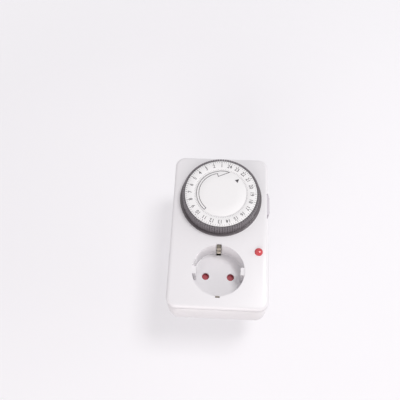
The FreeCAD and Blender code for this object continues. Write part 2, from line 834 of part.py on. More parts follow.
def make_conductors():
    front = column_front
    back = column_back
    strip_front = fixed_strip_front
    rivet_front = strip_front - bridge_thickness
    strip_back = strip_front + strip_thickness

    def contact_and_column(z, column_x, low_z):
        """A fixed contact, its strip out of the switch and the upright strip down from it."""
        return [
            rod(contact_radius, rivet_front, strip_back, plunger_x, z),
            block(column_x - strip_thickness / 2, plunger_x + tail_half_width, strip_front, strip_back,
                  z - strip_width / 2, z + strip_width / 2),
            block(column_x - strip_thickness / 2, column_x + strip_thickness / 2, strip_front, back,
                  z - strip_width / 2, z + strip_width / 2),
            block(column_x - strip_thickness / 2, column_x + strip_thickness / 2, front, back,
                  low_z, z + strip_width / 2),
        ]

    line = contact_and_column(switch_mid + contact_offset, line_column_x, tail_z)
    line.append(block(pin_x - tail_half_width, line_column_x, back - strip_thickness, back,
                      tail_z, tail_z + strip_width))
    line += pin_tail(1, tail_z, tail_z + strip_thickness, back - strip_thickness)
    save("line_bar", merge(line))
    bore_radius = pin_radius + sleeve_gap
    switched = contact_and_column(switch_mid - contact_offset, switched_column_x, switched_tail_low)
    switched.append(block(pin_x - tail_half_width, switched_column_x, back - strip_thickness, back,
                          switched_tail_low, switched_tail_high))
    switched.append(sleeve(1))
    save("switched_bar", merge(switched).cut(rod(bore_radius, front - 1, front + sleeve_length - 1, pin_x, 0)))
    neutral = [sleeve(-1)] + pin_tail(-1, tail_z - strip_thickness, tail_z, front + tail_setback)
    save("neutral_bar", merge(neutral).cut(rod(bore_radius, front - 1, front + sleeve_length, -pin_x, 0)))


def make_plug_pins():
    for side, name in ((1, "plug_pin_line"), (-1, "plug_pin_neutral")):
        x = side * pin_x
        pin = rod(pin_radius, face_depth - 0.5, face_depth + pin_length, x, 0)
        tip = [e for e in pin.Edges if abs(e.BoundBox.YMin - front_y - face_depth - pin_length) < 1e-6
               and e.Length > 1]
        pin = pin.makeFillet(pin_tip_round, tip)
        root = rod(pin_root_radius, pin_head_back, face_depth, x, 0)
        head = rod(pin_head_radius, pin_head_front, pin_head_back, x, 0)
        save(name, merge([pin, root, head]))


def make_earth_parts():
    half = clip_width / 2
    mid = strap_front + clip_thickness / 2
    outside = cup_radius + clip_outside_gap + clip_thickness / 2
    straps = [block(-half, half, strap_front, strap_front + clip_thickness, -outside, outside)]
    for side in (-1, 1):
        route = [
            (mid, side * outside),
            (wall + clip_lip, side * outside),
            (wall + clip_lip, side * (recess_radius - clip_mouth_height)),
            (clip_throat_depth, side * (recess_radius - clip_throat_height)),
            (clip_bow_depth, side * (recess_radius - clip_bow_height)),
            (clip_heel_depth, side * (recess_radius - clip_heel_height)),
            (clip_end_depth, side * (recess_radius - clip_end_height)),
        ]
        straps.append(side_strip(route, clip_thickness, -half, half))
    clips = merge(straps)
    clips = clips.cut(rod(shutter_pin_radius, strap_front - 1, strap_front + 2))
    save("socket_earth_clips", clips)
    bar_depth = body_depth + earth_bar_gap
    reach = boss_radius - earth_inset
    bar = block(-half, half, bar_depth, bar_depth + clip_thickness, -reach, reach)
    link = block(-half, half, strap_front + clip_thickness, bar_depth, -clip_thickness / 2, clip_thickness / 2)
    pieces = [bar, link]
    for side in (-1, 1):
        edge = side * reach
        outer = side * (reach - clip_thickness)
        pieces.append(block(-half, half, bar_depth, face_depth - earth_end_gap,
                            min(edge, outer), max(edge, outer)))
    save("plug_earth_strip", merge(pieces))


def make_shutter():
    bar = block(-shutter_half_length, shutter_half_length, shutter_front, shutter_back,
                -shutter_half_width, shutter_half_width)
    hub = rod(shutter_hub, shutter_front, shutter_back)
    shutter = merge([bar, hub]).cut(rod(shutter_pin_radius + running_gap, shutter_front - 1, shutter_back + 1))
    save("shutter", shutter)
    middle = floor_back + shutter_gap / 2
    ring = Part.makeTorus(shutter_spring_radius, shutter_spring_wire, point(0, middle, 0),
                          FreeCAD.Vector(0, 1, 0), 0, 360, shutter_spring_turn)
    save("shutter_spring", ring)


def make_lamp():
    shank = rod(lens_radius, -lens_rim, lens_length, lamp_x, lamp_z)
    dome_height = lens_proud - lens_rim
    dome_radius = (lens_radius ** 2 + dome_height ** 2) / (2 * dome_height)
    ball = Part.makeSphere(dome_radius, point(lamp_x, dome_radius - lens_proud, lamp_z))
    dome = ball.common(rod(lens_radius, -lens_proud, 0, lamp_x, lamp_z))
    collar = rod(lens_radius + lens_collar, wall, wall + lens_collar_thickness, lamp_x, lamp_z)
    lens = merge([shank, dome, collar])
    lens = lens.cut(rod(neon_radius + lens_gap, neon_front - loose_gap, lens_length + 1, lamp_x, lamp_z))
    save("lamp_lens", lens)
    base = lens_length + neon_proud
    save("neon_lamp", rod(neon_radius, neon_front, base, lamp_x, lamp_z))
    mid = (column_front + column_back) / 2
    near = lamp_x - neon_lead_x
    far = lamp_x + neon_lead_x
    to_switched = wire([(near, base, lamp_z), (near, mid, lamp_z),
                        (switched_column_x + strip_thickness / 2, mid, lamp_z)], neon_lead_radius)
    drop = column_back + neutral_lead_gap
    to_neutral = wire([(far, base, lamp_z), (far, drop, lamp_z), (-pin_x, drop, lamp_z),
                       (-pin_x, drop, tail_z + 0.1)], neon_lead_radius)
    save("lamp_leads", Part.makeCompound([to_switched, to_neutral]))
    along = FreeCAD.Vector(1, 0, 0)
    resistor = Part.makeCylinder(resistor_radius, resistor_length, point(resistor_x, drop, lamp_z), along)
    hole = Part.makeCylinder(neon_lead_radius, resistor_length + 2, point(resistor_x - 1, drop, lamp_z), along)
    save("lamp_resistor", resistor.cut(hole))


make_front_cover()
make_rear_housing()
make_housing_screws()
make_mechanism_plate()
make_mechanism_screws()
make_center_post()
make_center_disc()
make_dial_carrier()
make_number_ring()
make_tappets()
make_gear_train()
make_motor()
make_motor_leads()
make_switch_base()
make_plunger()
make_plunger_spring()
make_override_slider()
make_conductors()
make_plug_pins()
make_earth_parts()
make_shutter()
make_lamp()
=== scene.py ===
import json
import math

import bmesh
import bpy
from mathutils import Matrix, Vector


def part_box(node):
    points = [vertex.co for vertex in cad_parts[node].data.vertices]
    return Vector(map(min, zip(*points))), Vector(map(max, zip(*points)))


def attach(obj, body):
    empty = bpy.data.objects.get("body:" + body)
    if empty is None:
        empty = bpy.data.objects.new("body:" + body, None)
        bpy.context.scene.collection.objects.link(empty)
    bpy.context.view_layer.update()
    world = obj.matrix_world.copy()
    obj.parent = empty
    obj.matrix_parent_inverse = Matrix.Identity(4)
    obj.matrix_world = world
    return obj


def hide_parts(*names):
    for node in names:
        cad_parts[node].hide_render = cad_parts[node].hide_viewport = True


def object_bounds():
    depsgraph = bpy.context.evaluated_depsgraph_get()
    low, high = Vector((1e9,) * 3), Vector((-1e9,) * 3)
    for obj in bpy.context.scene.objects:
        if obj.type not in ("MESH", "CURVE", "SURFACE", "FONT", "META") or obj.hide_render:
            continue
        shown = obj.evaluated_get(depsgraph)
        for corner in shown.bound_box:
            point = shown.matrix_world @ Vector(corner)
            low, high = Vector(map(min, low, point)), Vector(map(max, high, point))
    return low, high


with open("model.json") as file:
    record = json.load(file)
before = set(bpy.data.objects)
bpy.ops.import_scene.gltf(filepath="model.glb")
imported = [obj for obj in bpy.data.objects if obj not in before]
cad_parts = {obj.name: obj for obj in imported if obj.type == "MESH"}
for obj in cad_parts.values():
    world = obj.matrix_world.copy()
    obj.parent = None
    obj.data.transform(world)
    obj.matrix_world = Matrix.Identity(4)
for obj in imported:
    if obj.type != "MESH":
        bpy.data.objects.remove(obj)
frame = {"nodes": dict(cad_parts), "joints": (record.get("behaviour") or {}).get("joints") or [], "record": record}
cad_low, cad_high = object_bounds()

bl_info = {
    "name": "Plug in timer switch",
    "version": (1, 0, 0),
    "blender": (4, 5, 0),
    "location": "View3D > Sidebar > Timer",
    "description": "Builds the finishes, printed dial and fine pieces of a plug in timer switch",
    "category": "Add Mesh",
}

MM = 0.001
HOURS = 24
QUARTERS = 4
NODES = frame["nodes"]
JOINTS = {joint["name"]: joint for joint in frame["joints"]}


def middle(node):
    """The middle of a node's box."""
    low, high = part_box(node)
    return (low + high) / 2


DIAL_LOW, DIAL_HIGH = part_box("number_ring")
DIAL_AXIS = Vector((0.0, 0.0, JOINTS["dial_turn"]["pos_m"][2]))
DIAL_FRONT = DIAL_LOW.y
RING_RADIUS = (DIAL_HIGH.x - DIAL_LOW.x) / 2
DISC_LOW, DISC_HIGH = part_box("dial_center_disc")
DISC_RADIUS = (DISC_HIGH.x - DISC_LOW.x) / 2
COVER_LOW, COVER_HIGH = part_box("front_cover")
FRONT = COVER_LOW.y
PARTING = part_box("rear_housing")[0].y
PRINT_HEIGHT = 0.03 * MM  # how far ink stands out
FINE = 0.12 * MM  # rounding of the dial's edges, and its gap to the disc
CLIP_DEPTH = 18 * MM  # span of the painted highlight and shade bands on the earth clips, from the cover's front
MESH_SNAP = 2e-6  # CAD corners nearer than this are one
POLE = 1e-9  # a turned profile's point nearer to its axis than this is on it
PLASTIC_IOR = 1.49
LINE_DEPTH = 0.012 * MM  # drawing lines on metal
DIAL_STEPS = 192  # sides of the dial's round pieces
EDGE_MIDDLE = FINE * 0.3  # how far a rounded edge's middle lies from its corner
FULL_TURN = 2 * math.pi
QUARTER_TURN = math.pi / 2
SLOTS = HOURS * QUARTERS
SLOT_ANGLE = FULL_TURN / SLOTS


def srgb(red, green, blue):
    """Turns a screen colour, 0 to 255, into the linear values that shaders use."""
    def linear(value):
        share = value / 255
        return share / 12.92 if share <= 0.04045 else ((share + 0.055) / 1.055) ** 2.4
    return (linear(red), linear(green), linear(blue))


# Settings that a user would change

def length(name, description, default):
    """A size that a user can set, in metres."""
    return bpy.props.FloatProperty(
        name=name, description=description, default=default, unit="LENGTH", precision=5, min=0.0
    )


def colour(name, description, red, green, blue):
    """A colour that a user can set. Its default is given as a screen colour."""
    return bpy.props.FloatVectorProperty(
        name=name, description=description, default=srgb(red, green, blue),
        subtype="COLOR", size=3, min=0.0, max=1.0,
    )


class TimerSizes(bpy.types.PropertyGroup):
    """Sizes of the printed marks and the fine moulded detail."""

    figure_height: length("Figure height", "Height of the dial's hour figures", 3.2 * MM)
    figure_radius: length(
        "Figure radius", "Distance of the figures from the dial's axis", 23.6 * MM
    )
    rim_mark_length: length("Rim mark", "Length of a quarter-hour mark at the rim", 1.1 * MM)
    hour_mark_length: length("Hour mark", "Length of a full-hour mark at the rim", 1.6 * MM)
    mark_width: length("Mark width", "Width of the marks on the ring", 0.2 * MM)
    line_width: length("Line width", "Width of the arrow's outline", 0.44 * MM)
    seam_width: length("Seam width", "Width of the groove between the shells", 0.36 * MM)
    seam_depth: length("Seam depth", "Depth of the groove between the shells", 0.4 * MM)
    grip_ribs: bpy.props.IntProperty(
        name="Grip ribs", description="Number of ribs on the side slider", default=11, min=3, max=20
    )


class TimerColours(bpy.types.PropertyGroup):
    """Colours of the finishes."""

    housing: colour("Housing", "White plastic of the housing", 238, 236, 238)
    dial: colour("Dial", "White plastic of the dial's ring and disc", 242, 241, 241)
    ring: colour("Dial ring", "Dark grey plastic round the dial", 116, 111, 115)
    flange: colour("Dial base", "Grey plastic of the dial's base", 102, 96, 99)
    print: colour("Print", "Grey ink of the figures and marks", 62, 58, 62)
    slider: colour("Slider", "Grey plastic of the side slider", 214, 209, 215)
    lamp: colour("Lamp", "Red plastic of the lamp's lens", 214, 62, 70)
    shutter: colour("Shutter", "Red plastic behind the pin holes", 190, 70, 82)
    background: colour("Background", "Floor and backdrop", 247, 245, 248)


class TimerSettings(bpy.types.PropertyGroup):
    """All settings of the timer switch."""

    sizes: bpy.props.PointerProperty(
        name="Sizes", description="Sizes of the marks and the fine detail", type=TimerSizes
    )
    colours: bpy.props.PointerProperty(
        name="Colours", description="Colours of the finishes", type=TimerColours
    )


def settings():
    """The timer's settings in this scene."""
    return bpy.context.scene.plug_timer


# Shader expressions

class Term:
    """A socket in a material, on which sums are written as Python."""

    def __init__(self, finish, socket):
        self.finish = finish
        self.socket = socket

    def math(self, operation, first, second=0.0, clamp=False):
        """A Math node on two terms or numbers."""
        chosen = {"operation": operation, "use_clamp": clamp}
        return self.finish.node("ShaderNodeMath", chosen, {0: first, 1: second})

    def __add__(self, other):
        return self.math("ADD", self, other)

    def __sub__(self, other):
        return self.math("SUBTRACT", self, other)

    def __rsub__(self, other):
        return self.math("SUBTRACT", other, self)

    def __mul__(self, other):
        return self.math("MULTIPLY", self, other)

    def __gt__(self, other):
        return self.math("GREATER_THAN", self, other)

    def clamped(self):
        return self.math("ADD", self, 0.0, clamp=True)

    __radd__ = __add__
    __rmul__ = __mul__


class Finish:
    """A material with one surface shader and the nodes that feed it."""

    def __init__(self, name, **fixed):
        self.material = bpy.data.materials.new(name)
        self.material.use_nodes = True
        self.tree = self.material.node_tree
        self.shader = self.tree.nodes["Principled BSDF"]
        self.end = self.tree.nodes["Material Output"]
        self.feed(**fixed)

    def feed(self, **values):
        """Sets sockets of the surface shader. A name's underscores stand for spaces."""
        for name, value in values.items():
            self.join(value, self.shader.inputs[name.replace("_", " ")])

    def join(self, value, socket):
        """Links a term to a socket, or sets the socket's own value."""
        if isinstance(value, Term):
            self.tree.links.new(value.socket, socket)
        elif getattr(socket, "type", "") == "RGBA":
            socket.default_value = (*value, 1.0)
        else:
            socket.default_value = value

    def node(self, kind, chosen=None, values=None, out=0):
        """Adds a node: its settings first, then the values or links of its sockets."""
        made = self.tree.nodes.new(kind)
        for name, value in (chosen or {}).items():
            if name == "stops":
                ramp = made.color_ramp
                while len(ramp.elements) < len(value):
                    ramp.elements.new(0.5)
                for element, (place, tone) in zip(ramp.elements, value):
                    element.position = place
                    element.color = (*tone, 1.0)
            else:
                setattr(made, name, value)
        for key, value in (values or {}).items():
            self.join(value, made.inputs[key])
        return Term(self, made.outputs[out])

    def place(self):
        """Object coordinates, in metres."""
        return self.node("ShaderNodeTexCoord", out="Object")

    def stretched(self, scale):
        """Object coordinates, stretched by scale along each axis."""
        return self.node("ShaderNodeMapping", None, {"Vector": self.place(), "Scale": scale})

    def noise(self, scale, detail=3.0, where=None, roughness=0.5):
        """Noise on object coordinates, or on the term where."""
        values = {"Vector": where or self.place(), "Scale": scale, "Detail": detail}
        return self.node("ShaderNodeTexNoise", None, {**values, "Roughness": roughness})

    def ramp(self, factor, *stops):
        """A grey level from pairs of place and level."""
        tones = [(place, (level, level, level)) for place, level in stops]
        return self.node("ShaderNodeValToRGB", {"stops": tones}, {0: factor})

    def blend(self, factor, first, second, how="MIX"):
        """A mix of two colours."""
        chosen = {"data_type": "RGBA", "blend_type": how}
        return self.node("ShaderNodeMix", chosen, {0: factor, 6: first, 7: second}, out=2)

    def bump(self, height, distance):
        """A surface raised by height, 0 to 1, times distance."""
        values = {"Height": height, "Distance": distance, "Strength": 1.0}
        return self.node("ShaderNodeBump", None, values, out="Normal")


class Sky(Finish):
    """The same methods for the nodes of a world."""

    def __init__(self, tree):
        self.tree = tree


def shade(tone, factor):
    """A tone made lighter or darker."""
    return tuple(min(1.0, max(0.0, part * factor)) for part in tone)


# Finishes

def moulded(name, tone, roughness, variation, grain, coat=0.0):
    """Injection moulded plastic: a spark-eroded grain, faint flow marks and uneven gloss."""
    # sizes of the patterns, as the number of their features in a metre
    cloud_scale, flow_scale, smudge_scale, grain_scale = 28.0, 70.0, 95.0, 2600.0
    flow_stretch, flow_tint, flow_relief = (1.0, 0.4, 0.12), 0.25, 0.8
    smudge_gloss, grain_gloss = 0.10, 0.05
    finish = Finish(name, IOR=PLASTIC_IOR, Coat_Weight=coat, Coat_Roughness=0.12)
    cloud = finish.noise(cloud_scale, 4.0)
    flow = finish.noise(flow_scale, 2.0, finish.stretched(flow_stretch))
    tint = finish.blend(cloud, shade(tone, 1 - variation), shade(tone, 1 + variation * 0.6))
    dark = shade(tone, 1 - 2 * variation)
    finish.feed(Base_Color=finish.blend(flow * flow_tint, tint, dark))
    fine = finish.noise(grain_scale, 2.0)
    smudge = finish.noise(smudge_scale, 3.0)
    mean_gloss = (smudge_gloss + grain_gloss) / 2
    gloss = smudge * smudge_gloss + fine * grain_gloss + (roughness - mean_gloss)
    finish.feed(Roughness=gloss.clamped())
    finish.feed(Normal=finish.bump(fine + flow * flow_relief, grain * MM))
    return finish.material


def ink(name, tone):
    """Pad printed ink with slightly uneven cover."""
    finish = Finish(name, Roughness=0.55)
    patch = finish.noise(900.0, 3.0)
    finish.feed(Base_Color=finish.blend(patch * 0.5, tone, shade(tone, 1.5)))
    finish.feed(Normal=finish.bump(patch, 0.01 * MM))
    return finish.material


def drawing_lines(finish, stretch):
    """The fine lines that a die leaves along a strip, wire or pin."""
    return finish.noise(55.0, 4.0, finish.stretched(stretch), 0.6)


def drawn_metal(name, tone, roughness, stretch=(60.0, 4.0, 60.0), stain=0.12):
    """Strip, wire or turned metal with drawing lines along it and a light tarnish."""
    line_gloss, tarnish_gloss, mean_gloss = 0.24, 0.12, 0.16
    finish = Finish(name, Metallic=1.0)
    lines = drawing_lines(finish, stretch)
    tarnish = finish.noise(240.0, 4.0)
    spots = finish.ramp(tarnish, (0.45, 0.0), (0.75, 1.0))
    finish.feed(Base_Color=finish.blend(spots * stain, tone, shade(tone, 0.45)))
    gloss = lines * line_gloss + tarnish * tarnish_gloss + (roughness - mean_gloss)
    finish.feed(Roughness=gloss.clamped())
    finish.feed(Normal=finish.bump(lines, LINE_DEPTH))
    return finish.material


def clip_metal(name, tone):
    """Sprung strip, its colour painted in bands along its depth: painted shade in its hollows and painted
    highlights on its bends, with random tarnish.
    """
    finish = Finish(name, Metallic=1.0)
    depth = finish.node("ShaderNodeSeparateXYZ", None, {"Vector": finish.place()}, out="Y")
    # colour by depth along the clip: low stops are painted shade, high stops painted highlights on the bends
    painted_sheen_bands = finish.ramp(
        (depth - FRONT) * (1 / CLIP_DEPTH),
        (0.18, 0.03), (0.27, 0.7), (0.33, 0.7), (0.42, 0.1),
        (0.52, 0.1), (0.60, 1.0), (0.72, 1.0), (0.84, 0.05),
    )
    tarnish = finish.noise(420.0, 4.0)
    painted_sheen_and_tarnish = (painted_sheen_bands + tarnish * 0.3 - 0.15).clamped()
    # dark and light copies of the tone: painted shade and painted highlights, with random tarnish mixed in
    finish.feed(Base_Color=finish.blend(painted_sheen_and_tarnish, shade(tone, 0.22), shade(tone, 1.3)))
    lines = drawing_lines(finish, (60.0, 4.0, 60.0))
    finish.feed(Roughness=(lines * 0.2 - painted_sheen_and_tarnish * 0.15 + 0.3).clamped())
    finish.feed(Normal=finish.bump(lines, LINE_DEPTH))
    return finish.material


def lens_red(name, tone):
    """Clear red plastic lens, moulded in one colour, with a soft highlight."""
    finish = Finish(name, IOR=PLASTIC_IOR, Coat_Weight=1.0, Coat_Roughness=0.16)
    finish.feed(Subsurface_Weight=0.25, Subsurface_Radius=(1.0, 0.12, 0.1))
    finish.feed(Subsurface_Scale=1.2 * MM)
    swirl = finish.noise(420.0, 3.0)
    finish.feed(Base_Color=finish.blend(swirl * 0.35, tone, shade(tone, 0.72)))
    finish.feed(Roughness=(swirl * 0.1 + 0.08).clamped())
    finish.feed(Normal=finish.bump(swirl, 0.02 * MM))
    return finish.material


def clear_glass(name):
    """The neon tube's glass, with faint streaks."""
    finish = Finish(name, IOR=1.5, Transmission_Weight=0.9)
    seed = finish.noise(300.0, 3.0)
    finish.feed(Base_Color=finish.blend(seed, (0.95, 0.93, 0.9), (0.85, 0.8, 0.76)))
    finish.feed(Roughness=(seed * 0.08).clamped())
    return finish.material


def winding(name):
    """Enamelled copper wire wound round the motor's bobbin, with painted shade between the turns and painted
    highlights on them.
    """
    finish = Finish(name, Metallic=0.6)
    wave = {"Vector": finish.place(), "Scale": 1200.0, "Distortion": 1.5, "Detail": 2.0}
    turns = finish.node("ShaderNodeTexWave", {"bands_direction": "Y"}, wave)
    # the colour is darker in the grooves between turns and lighter on their crests: painted shade and painted
    # highlights
    finish.feed(Base_Color=finish.blend(turns, (0.36, 0.11, 0.04), (0.62, 0.25, 0.10)))
    finish.feed(Roughness=(turns * 0.2 + 0.25).clamped())
    finish.feed(Normal=finish.bump(turns, 0.1 * MM))
    return finish.material


def banded(name, body, band):
    """A lacquered resistor with plain colour bands along x."""
    finish = Finish(name, Roughness=0.35)
    wave = {"Vector": finish.place(), "Scale": 260.0, "Distortion": 0.0, "Detail": 0.0}
    bands = finish.node("ShaderNodeTexWave", {"bands_direction": "X"}, wave)
    grain = finish.noise(900.0, 2.0)
    lacquer = finish.blend(grain, body, shade(body, 0.85))
    finish.feed(Base_Color=finish.blend(bands > 0.8, lacquer, band))
    return finish.material


def make_finishes():
    """All materials, by the name of the slot that they fill."""
    tones = settings().colours
    recipes = (
        # name, recipe, tone, then the recipe's own values
        ("housing_white", moulded, tones.housing, 0.32, 0.012, 0.002, 0.25),
        ("dial_white", moulded, tones.dial, 0.50, 0.010, 0.002),
        ("dial_grey", moulded, tones.flange, 0.26, 0.05, 0.003, 0.5),
        ("tappet_grey", moulded, tones.ring, 0.40, 0.07, 0.008),
        ("slider_grey", moulded, tones.slider, 0.42, 0.04, 0.008),
        ("shutter_red", moulded, tones.shutter, 0.40, 0.06, 0.006),
        ("gear_plastic", moulded, srgb(232, 226, 208), 0.45, 0.04, 0.01),
        ("switch_plastic", moulded, srgb(52, 50, 52), 0.45, 0.1, 0.01),
        ("wire_insulation", moulded, srgb(54, 84, 150), 0.5, 0.05, 0.01),
        ("lamp_red", lens_red, tones.lamp),
        ("print_grey", ink, tones.print),
        ("clip_metal", clip_metal, (0.66, 0.60, 0.50)),
        ("earth_metal", drawn_metal, (0.62, 0.56, 0.46), 0.26, (60.0, 4.0, 60.0), 0.35),
        ("pin_nickel", drawn_metal, (0.70, 0.69, 0.66), 0.22, (4.0, 60.0, 4.0)),
        ("screw_steel", drawn_metal, (0.58, 0.58, 0.57), 0.30),
        ("plate_steel", drawn_metal, (0.60, 0.60, 0.58), 0.38),
        ("axle_steel", drawn_metal, (0.62, 0.62, 0.63), 0.22),
        ("spring_steel", drawn_metal, (0.50, 0.50, 0.51), 0.30),
        ("gear_brass", drawn_metal, (0.78, 0.56, 0.25), 0.28),
        ("contact_brass", drawn_metal, (0.76, 0.53, 0.23), 0.30, (60.0, 4.0, 60.0), 0.25),
        ("resistor_ceramic", banded, srgb(214, 196, 160), srgb(150, 60, 40)),
        ("lamp_glass", clear_glass),
        ("coil_copper", winding),
    )
    finishes = {}
    for name, recipe, *values in recipes:
        if values:
            values[0] = tuple(values[0])
        finishes[name] = recipe(name, *values)
    return finishes


FINISHES = {}


def finish_for(slot_name):
    """The material of a slot. All are made at the first call."""
    if not FINISHES:
        FINISHES.update(make_finishes())
    return FINISHES[slot_name]


# Mesh tools

def new_object(name, data):
    """An object in the scene, at the origin."""
    made = bpy.data.objects.new(name, data)
    bpy.context.scene.collection.objects.link(made)
    return made


def discard(piece):
    """Removes a helper whose shape has been used."""
    bpy.data.objects.remove(piece)


def from_bmesh(name, form, flat_angle=38.0, recalculate=True):
    """Turns a bmesh into an object, smooth but for edges sharper than flat_angle degrees."""
    if recalculate:
        bmesh.ops.recalc_face_normals(form, faces=form.faces[:])
    for face in form.faces:
        face.smooth = True
    for edge in form.edges:
        if len(edge.link_faces) == 2:
            edge.smooth = edge.calc_face_angle(0.0) < math.radians(flat_angle)
    mesh = bpy.data.meshes.new(name)
    form.to_mesh(mesh)
    form.free()
    return new_object(name, mesh)


def turned(name, profile, centre, steps, flat_angle=50.0):
    """A loop of (radius, y) points turned round an axis along y. A radius of 0 makes a pole."""
    form = bmesh.new()
    rings = []
    for radius, y in profile:
        if radius <= POLE:
            rings.append([form.verts.new((centre.x, y, centre.z))])
            continue
        ring = []
        for step in range(steps):
            turn = FULL_TURN * step / steps
            x = centre.x + radius * math.cos(turn)
            z = centre.z + radius * math.sin(turn)
            ring.append(form.verts.new((x, y, z)))
        rings.append(ring)
    pairs = list(zip(rings, rings[1:]))
    if len(rings[0]) > 1 and len(rings[-1]) > 1:
        pairs.append((rings[-1], rings[0]))
    for first, second in pairs:
        for step in range(steps):
            after = (step + 1) % steps
            corners = [first[step % len(first)], first[after % len(first)],
                       second[after % len(second)], second[step % len(second)]]
            unique = list(dict.fromkeys(corners))
            if len(unique) > 2:
                form.faces.new(unique)
    return from_bmesh(name, form, flat_angle)


def slab(form, low, high):
    """A box between two corners."""
    low, high = Vector(low), Vector(high)
    size = high - low
    centre = (high + low) / 2
    for vert in bmesh.ops.create_cube(form, size=1.0)["verts"]:
        vert.co = Vector([vert.co[axis] * size[axis] + centre[axis] for axis in range(3)])


def prism(name, first, second, flat_angle=35.0):
    """A solid between two like outlines."""
    form = bmesh.new()
    ends = [[form.verts.new(point) for point in outline] for outline in (first, second)]
    form.faces.new(ends[0])
    form.faces.new(list(reversed(ends[1])))
    for k in range(len(first)):
        after = (k + 1) % len(first)
        form.faces.new((ends[0][k], ends[1][k], ends[1][after], ends[0][after]))
    return from_bmesh(name, form, flat_angle)


def quads(form, rows, closed):
    """Faces between rows of corners. The rows form a tube, and closed joins their two ends."""
    for row, after in zip(rows, rows[1:] + rows[:1]):
        if closed:
            row, after = row + row[:1], after + after[:1]
        for a, b, c, d in zip(row, row[1:], after[1:], after):
            form.faces.new((a, b, c, d))


def beside(points, half_width, closed, sharpest):
    """Two lines, half_width to the left and right of a line, mitred in its corners."""
    last = len(points) - 1
    left, right = [], []
    for index, here in enumerate(points):
        ways = []
        if closed or index > 0:
            ways.append((here - points[index - 1]).normalized())
        if closed or index < last:
            ways.append((points[(index + 1) % len(points)] - here).normalized())
        first, second = ways[0], ways[-1]
        normal = Vector((-first.y - second.y, first.x + second.x)).normalized()
        reach = half_width / max(sharpest, normal.dot(Vector((-first.y, first.x))))
        left.append(here + normal * reach)
        right.append(here - normal * reach)
    return left, right


def apply(piece):
    """Bakes a piece's modifiers into its mesh."""
    depsgraph = bpy.context.evaluated_depsgraph_get()
    mesh = bpy.data.meshes.new_from_object(piece.evaluated_get(depsgraph))
    old = piece.data
    piece.modifiers.clear()
    piece.data = mesh
    bpy.data.meshes.remove(old)
    return piece


def rounded(piece, width, segments, angle):
    """Rounds the edges sharper than angle degrees and keeps flat faces flat."""
    bevel = piece.modifiers.new("edge", "BEVEL")
    bevel.width = width
    bevel.segments = segments
    bevel.limit_method = "ANGLE"
    bevel.angle_limit = math.radians(angle)
    bevel.use_clamp_overlap = True
    bevel.harden_normals = True
    bevel.miter_outer = "MITER_ARC"
    return apply(piece)


def carve(piece, cutter, own_overlaps=False):
    """Takes the cutter's shape out of a piece. own_overlaps: the cutter's parts cross."""
    cut = piece.modifiers.new("carve", "BOOLEAN")
    cut.object = cutter
    cut.solver = "EXACT"
    cut.use_self = own_overlaps
    return apply(piece)


def merged_copy(node, name):
    """A joined-up copy of a CAD node's mesh, with its flat faces in one piece."""
    flat = math.radians(0.6)
    form = bmesh.new()
    form.from_mesh(NODES[node].data)
    bmesh.ops.remove_doubles(form, verts=form.verts[:], dist=MESH_SNAP)
    bmesh.ops.dissolve_limit(
        form, angle_limit=flat, verts=form.verts[:], edges=form.edges[:]
    )
    return from_bmesh(name, form, flat_angle=32.0, recalculate=False)


def finished(piece, slot_name, body, *nodes, finish=None):
    """Gives a piece its finish and its body, and hides the CAD nodes it stands for."""
    piece.data.materials.clear()
    piece.data.materials.append(finish_for(finish or slot_name))
    if nodes:
        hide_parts(*nodes)
    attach(piece, body)
    return piece


# Geometry nodes for what repeats

def node_tree(name, **inputs):
    """A geometry tree with named inputs; gives the tree, its input node and its output node."""
    tree = bpy.data.node_groups.new(name, "GeometryNodeTree")
    tree.interface.new_socket("Geometry", in_out="INPUT", socket_type="NodeSocketGeometry")
    for label, kind in inputs.items():
        tree.interface.new_socket(
            label.replace("_", " "), in_out="INPUT", socket_type="NodeSocket" + kind
        )
    tree.interface.new_socket("Geometry", in_out="OUTPUT", socket_type="NodeSocketGeometry")
    return tree, tree.nodes.new("NodeGroupInput"), tree.nodes.new("NodeGroupOutput")


def add(tree, kind, inputs=None, **chosen):
    """A new node with its settings, and with its inputs linked to sockets or set to values."""
    node = tree.nodes.new(kind)
    for name, value in chosen.items():
        setattr(node, name, value)
    for key, value in (inputs or {}).items():
        if isinstance(value, bpy.types.NodeSocket):
            tree.links.new(value, node.inputs[key])
        else:
            node.inputs[key].default_value = value
    return node


def copies_on(tree, given, points, **inputs):
    """Copies of the Segment input on points."""
    source = add(tree, "GeometryNodeObjectInfo", {"Object": given.outputs["Segment"]})
    inputs = {"Points": points, "Instance": source.outputs["Geometry"], **inputs}
    return add(tree, "GeometryNodeInstanceOnPoints", inputs).outputs[0]


def close_tree(tree, given, result, copies):
    """Makes the copies real and gives them the Material input."""
    real = add(tree, "GeometryNodeRealizeInstances", {0: copies})
    coat = {"Geometry": real.outputs[0], "Material": given.outputs["Material"]}
    coated = add(tree, "GeometryNodeSetMaterial", coat)
    tree.links.new(coated.outputs[0], result.inputs[0])
    return tree


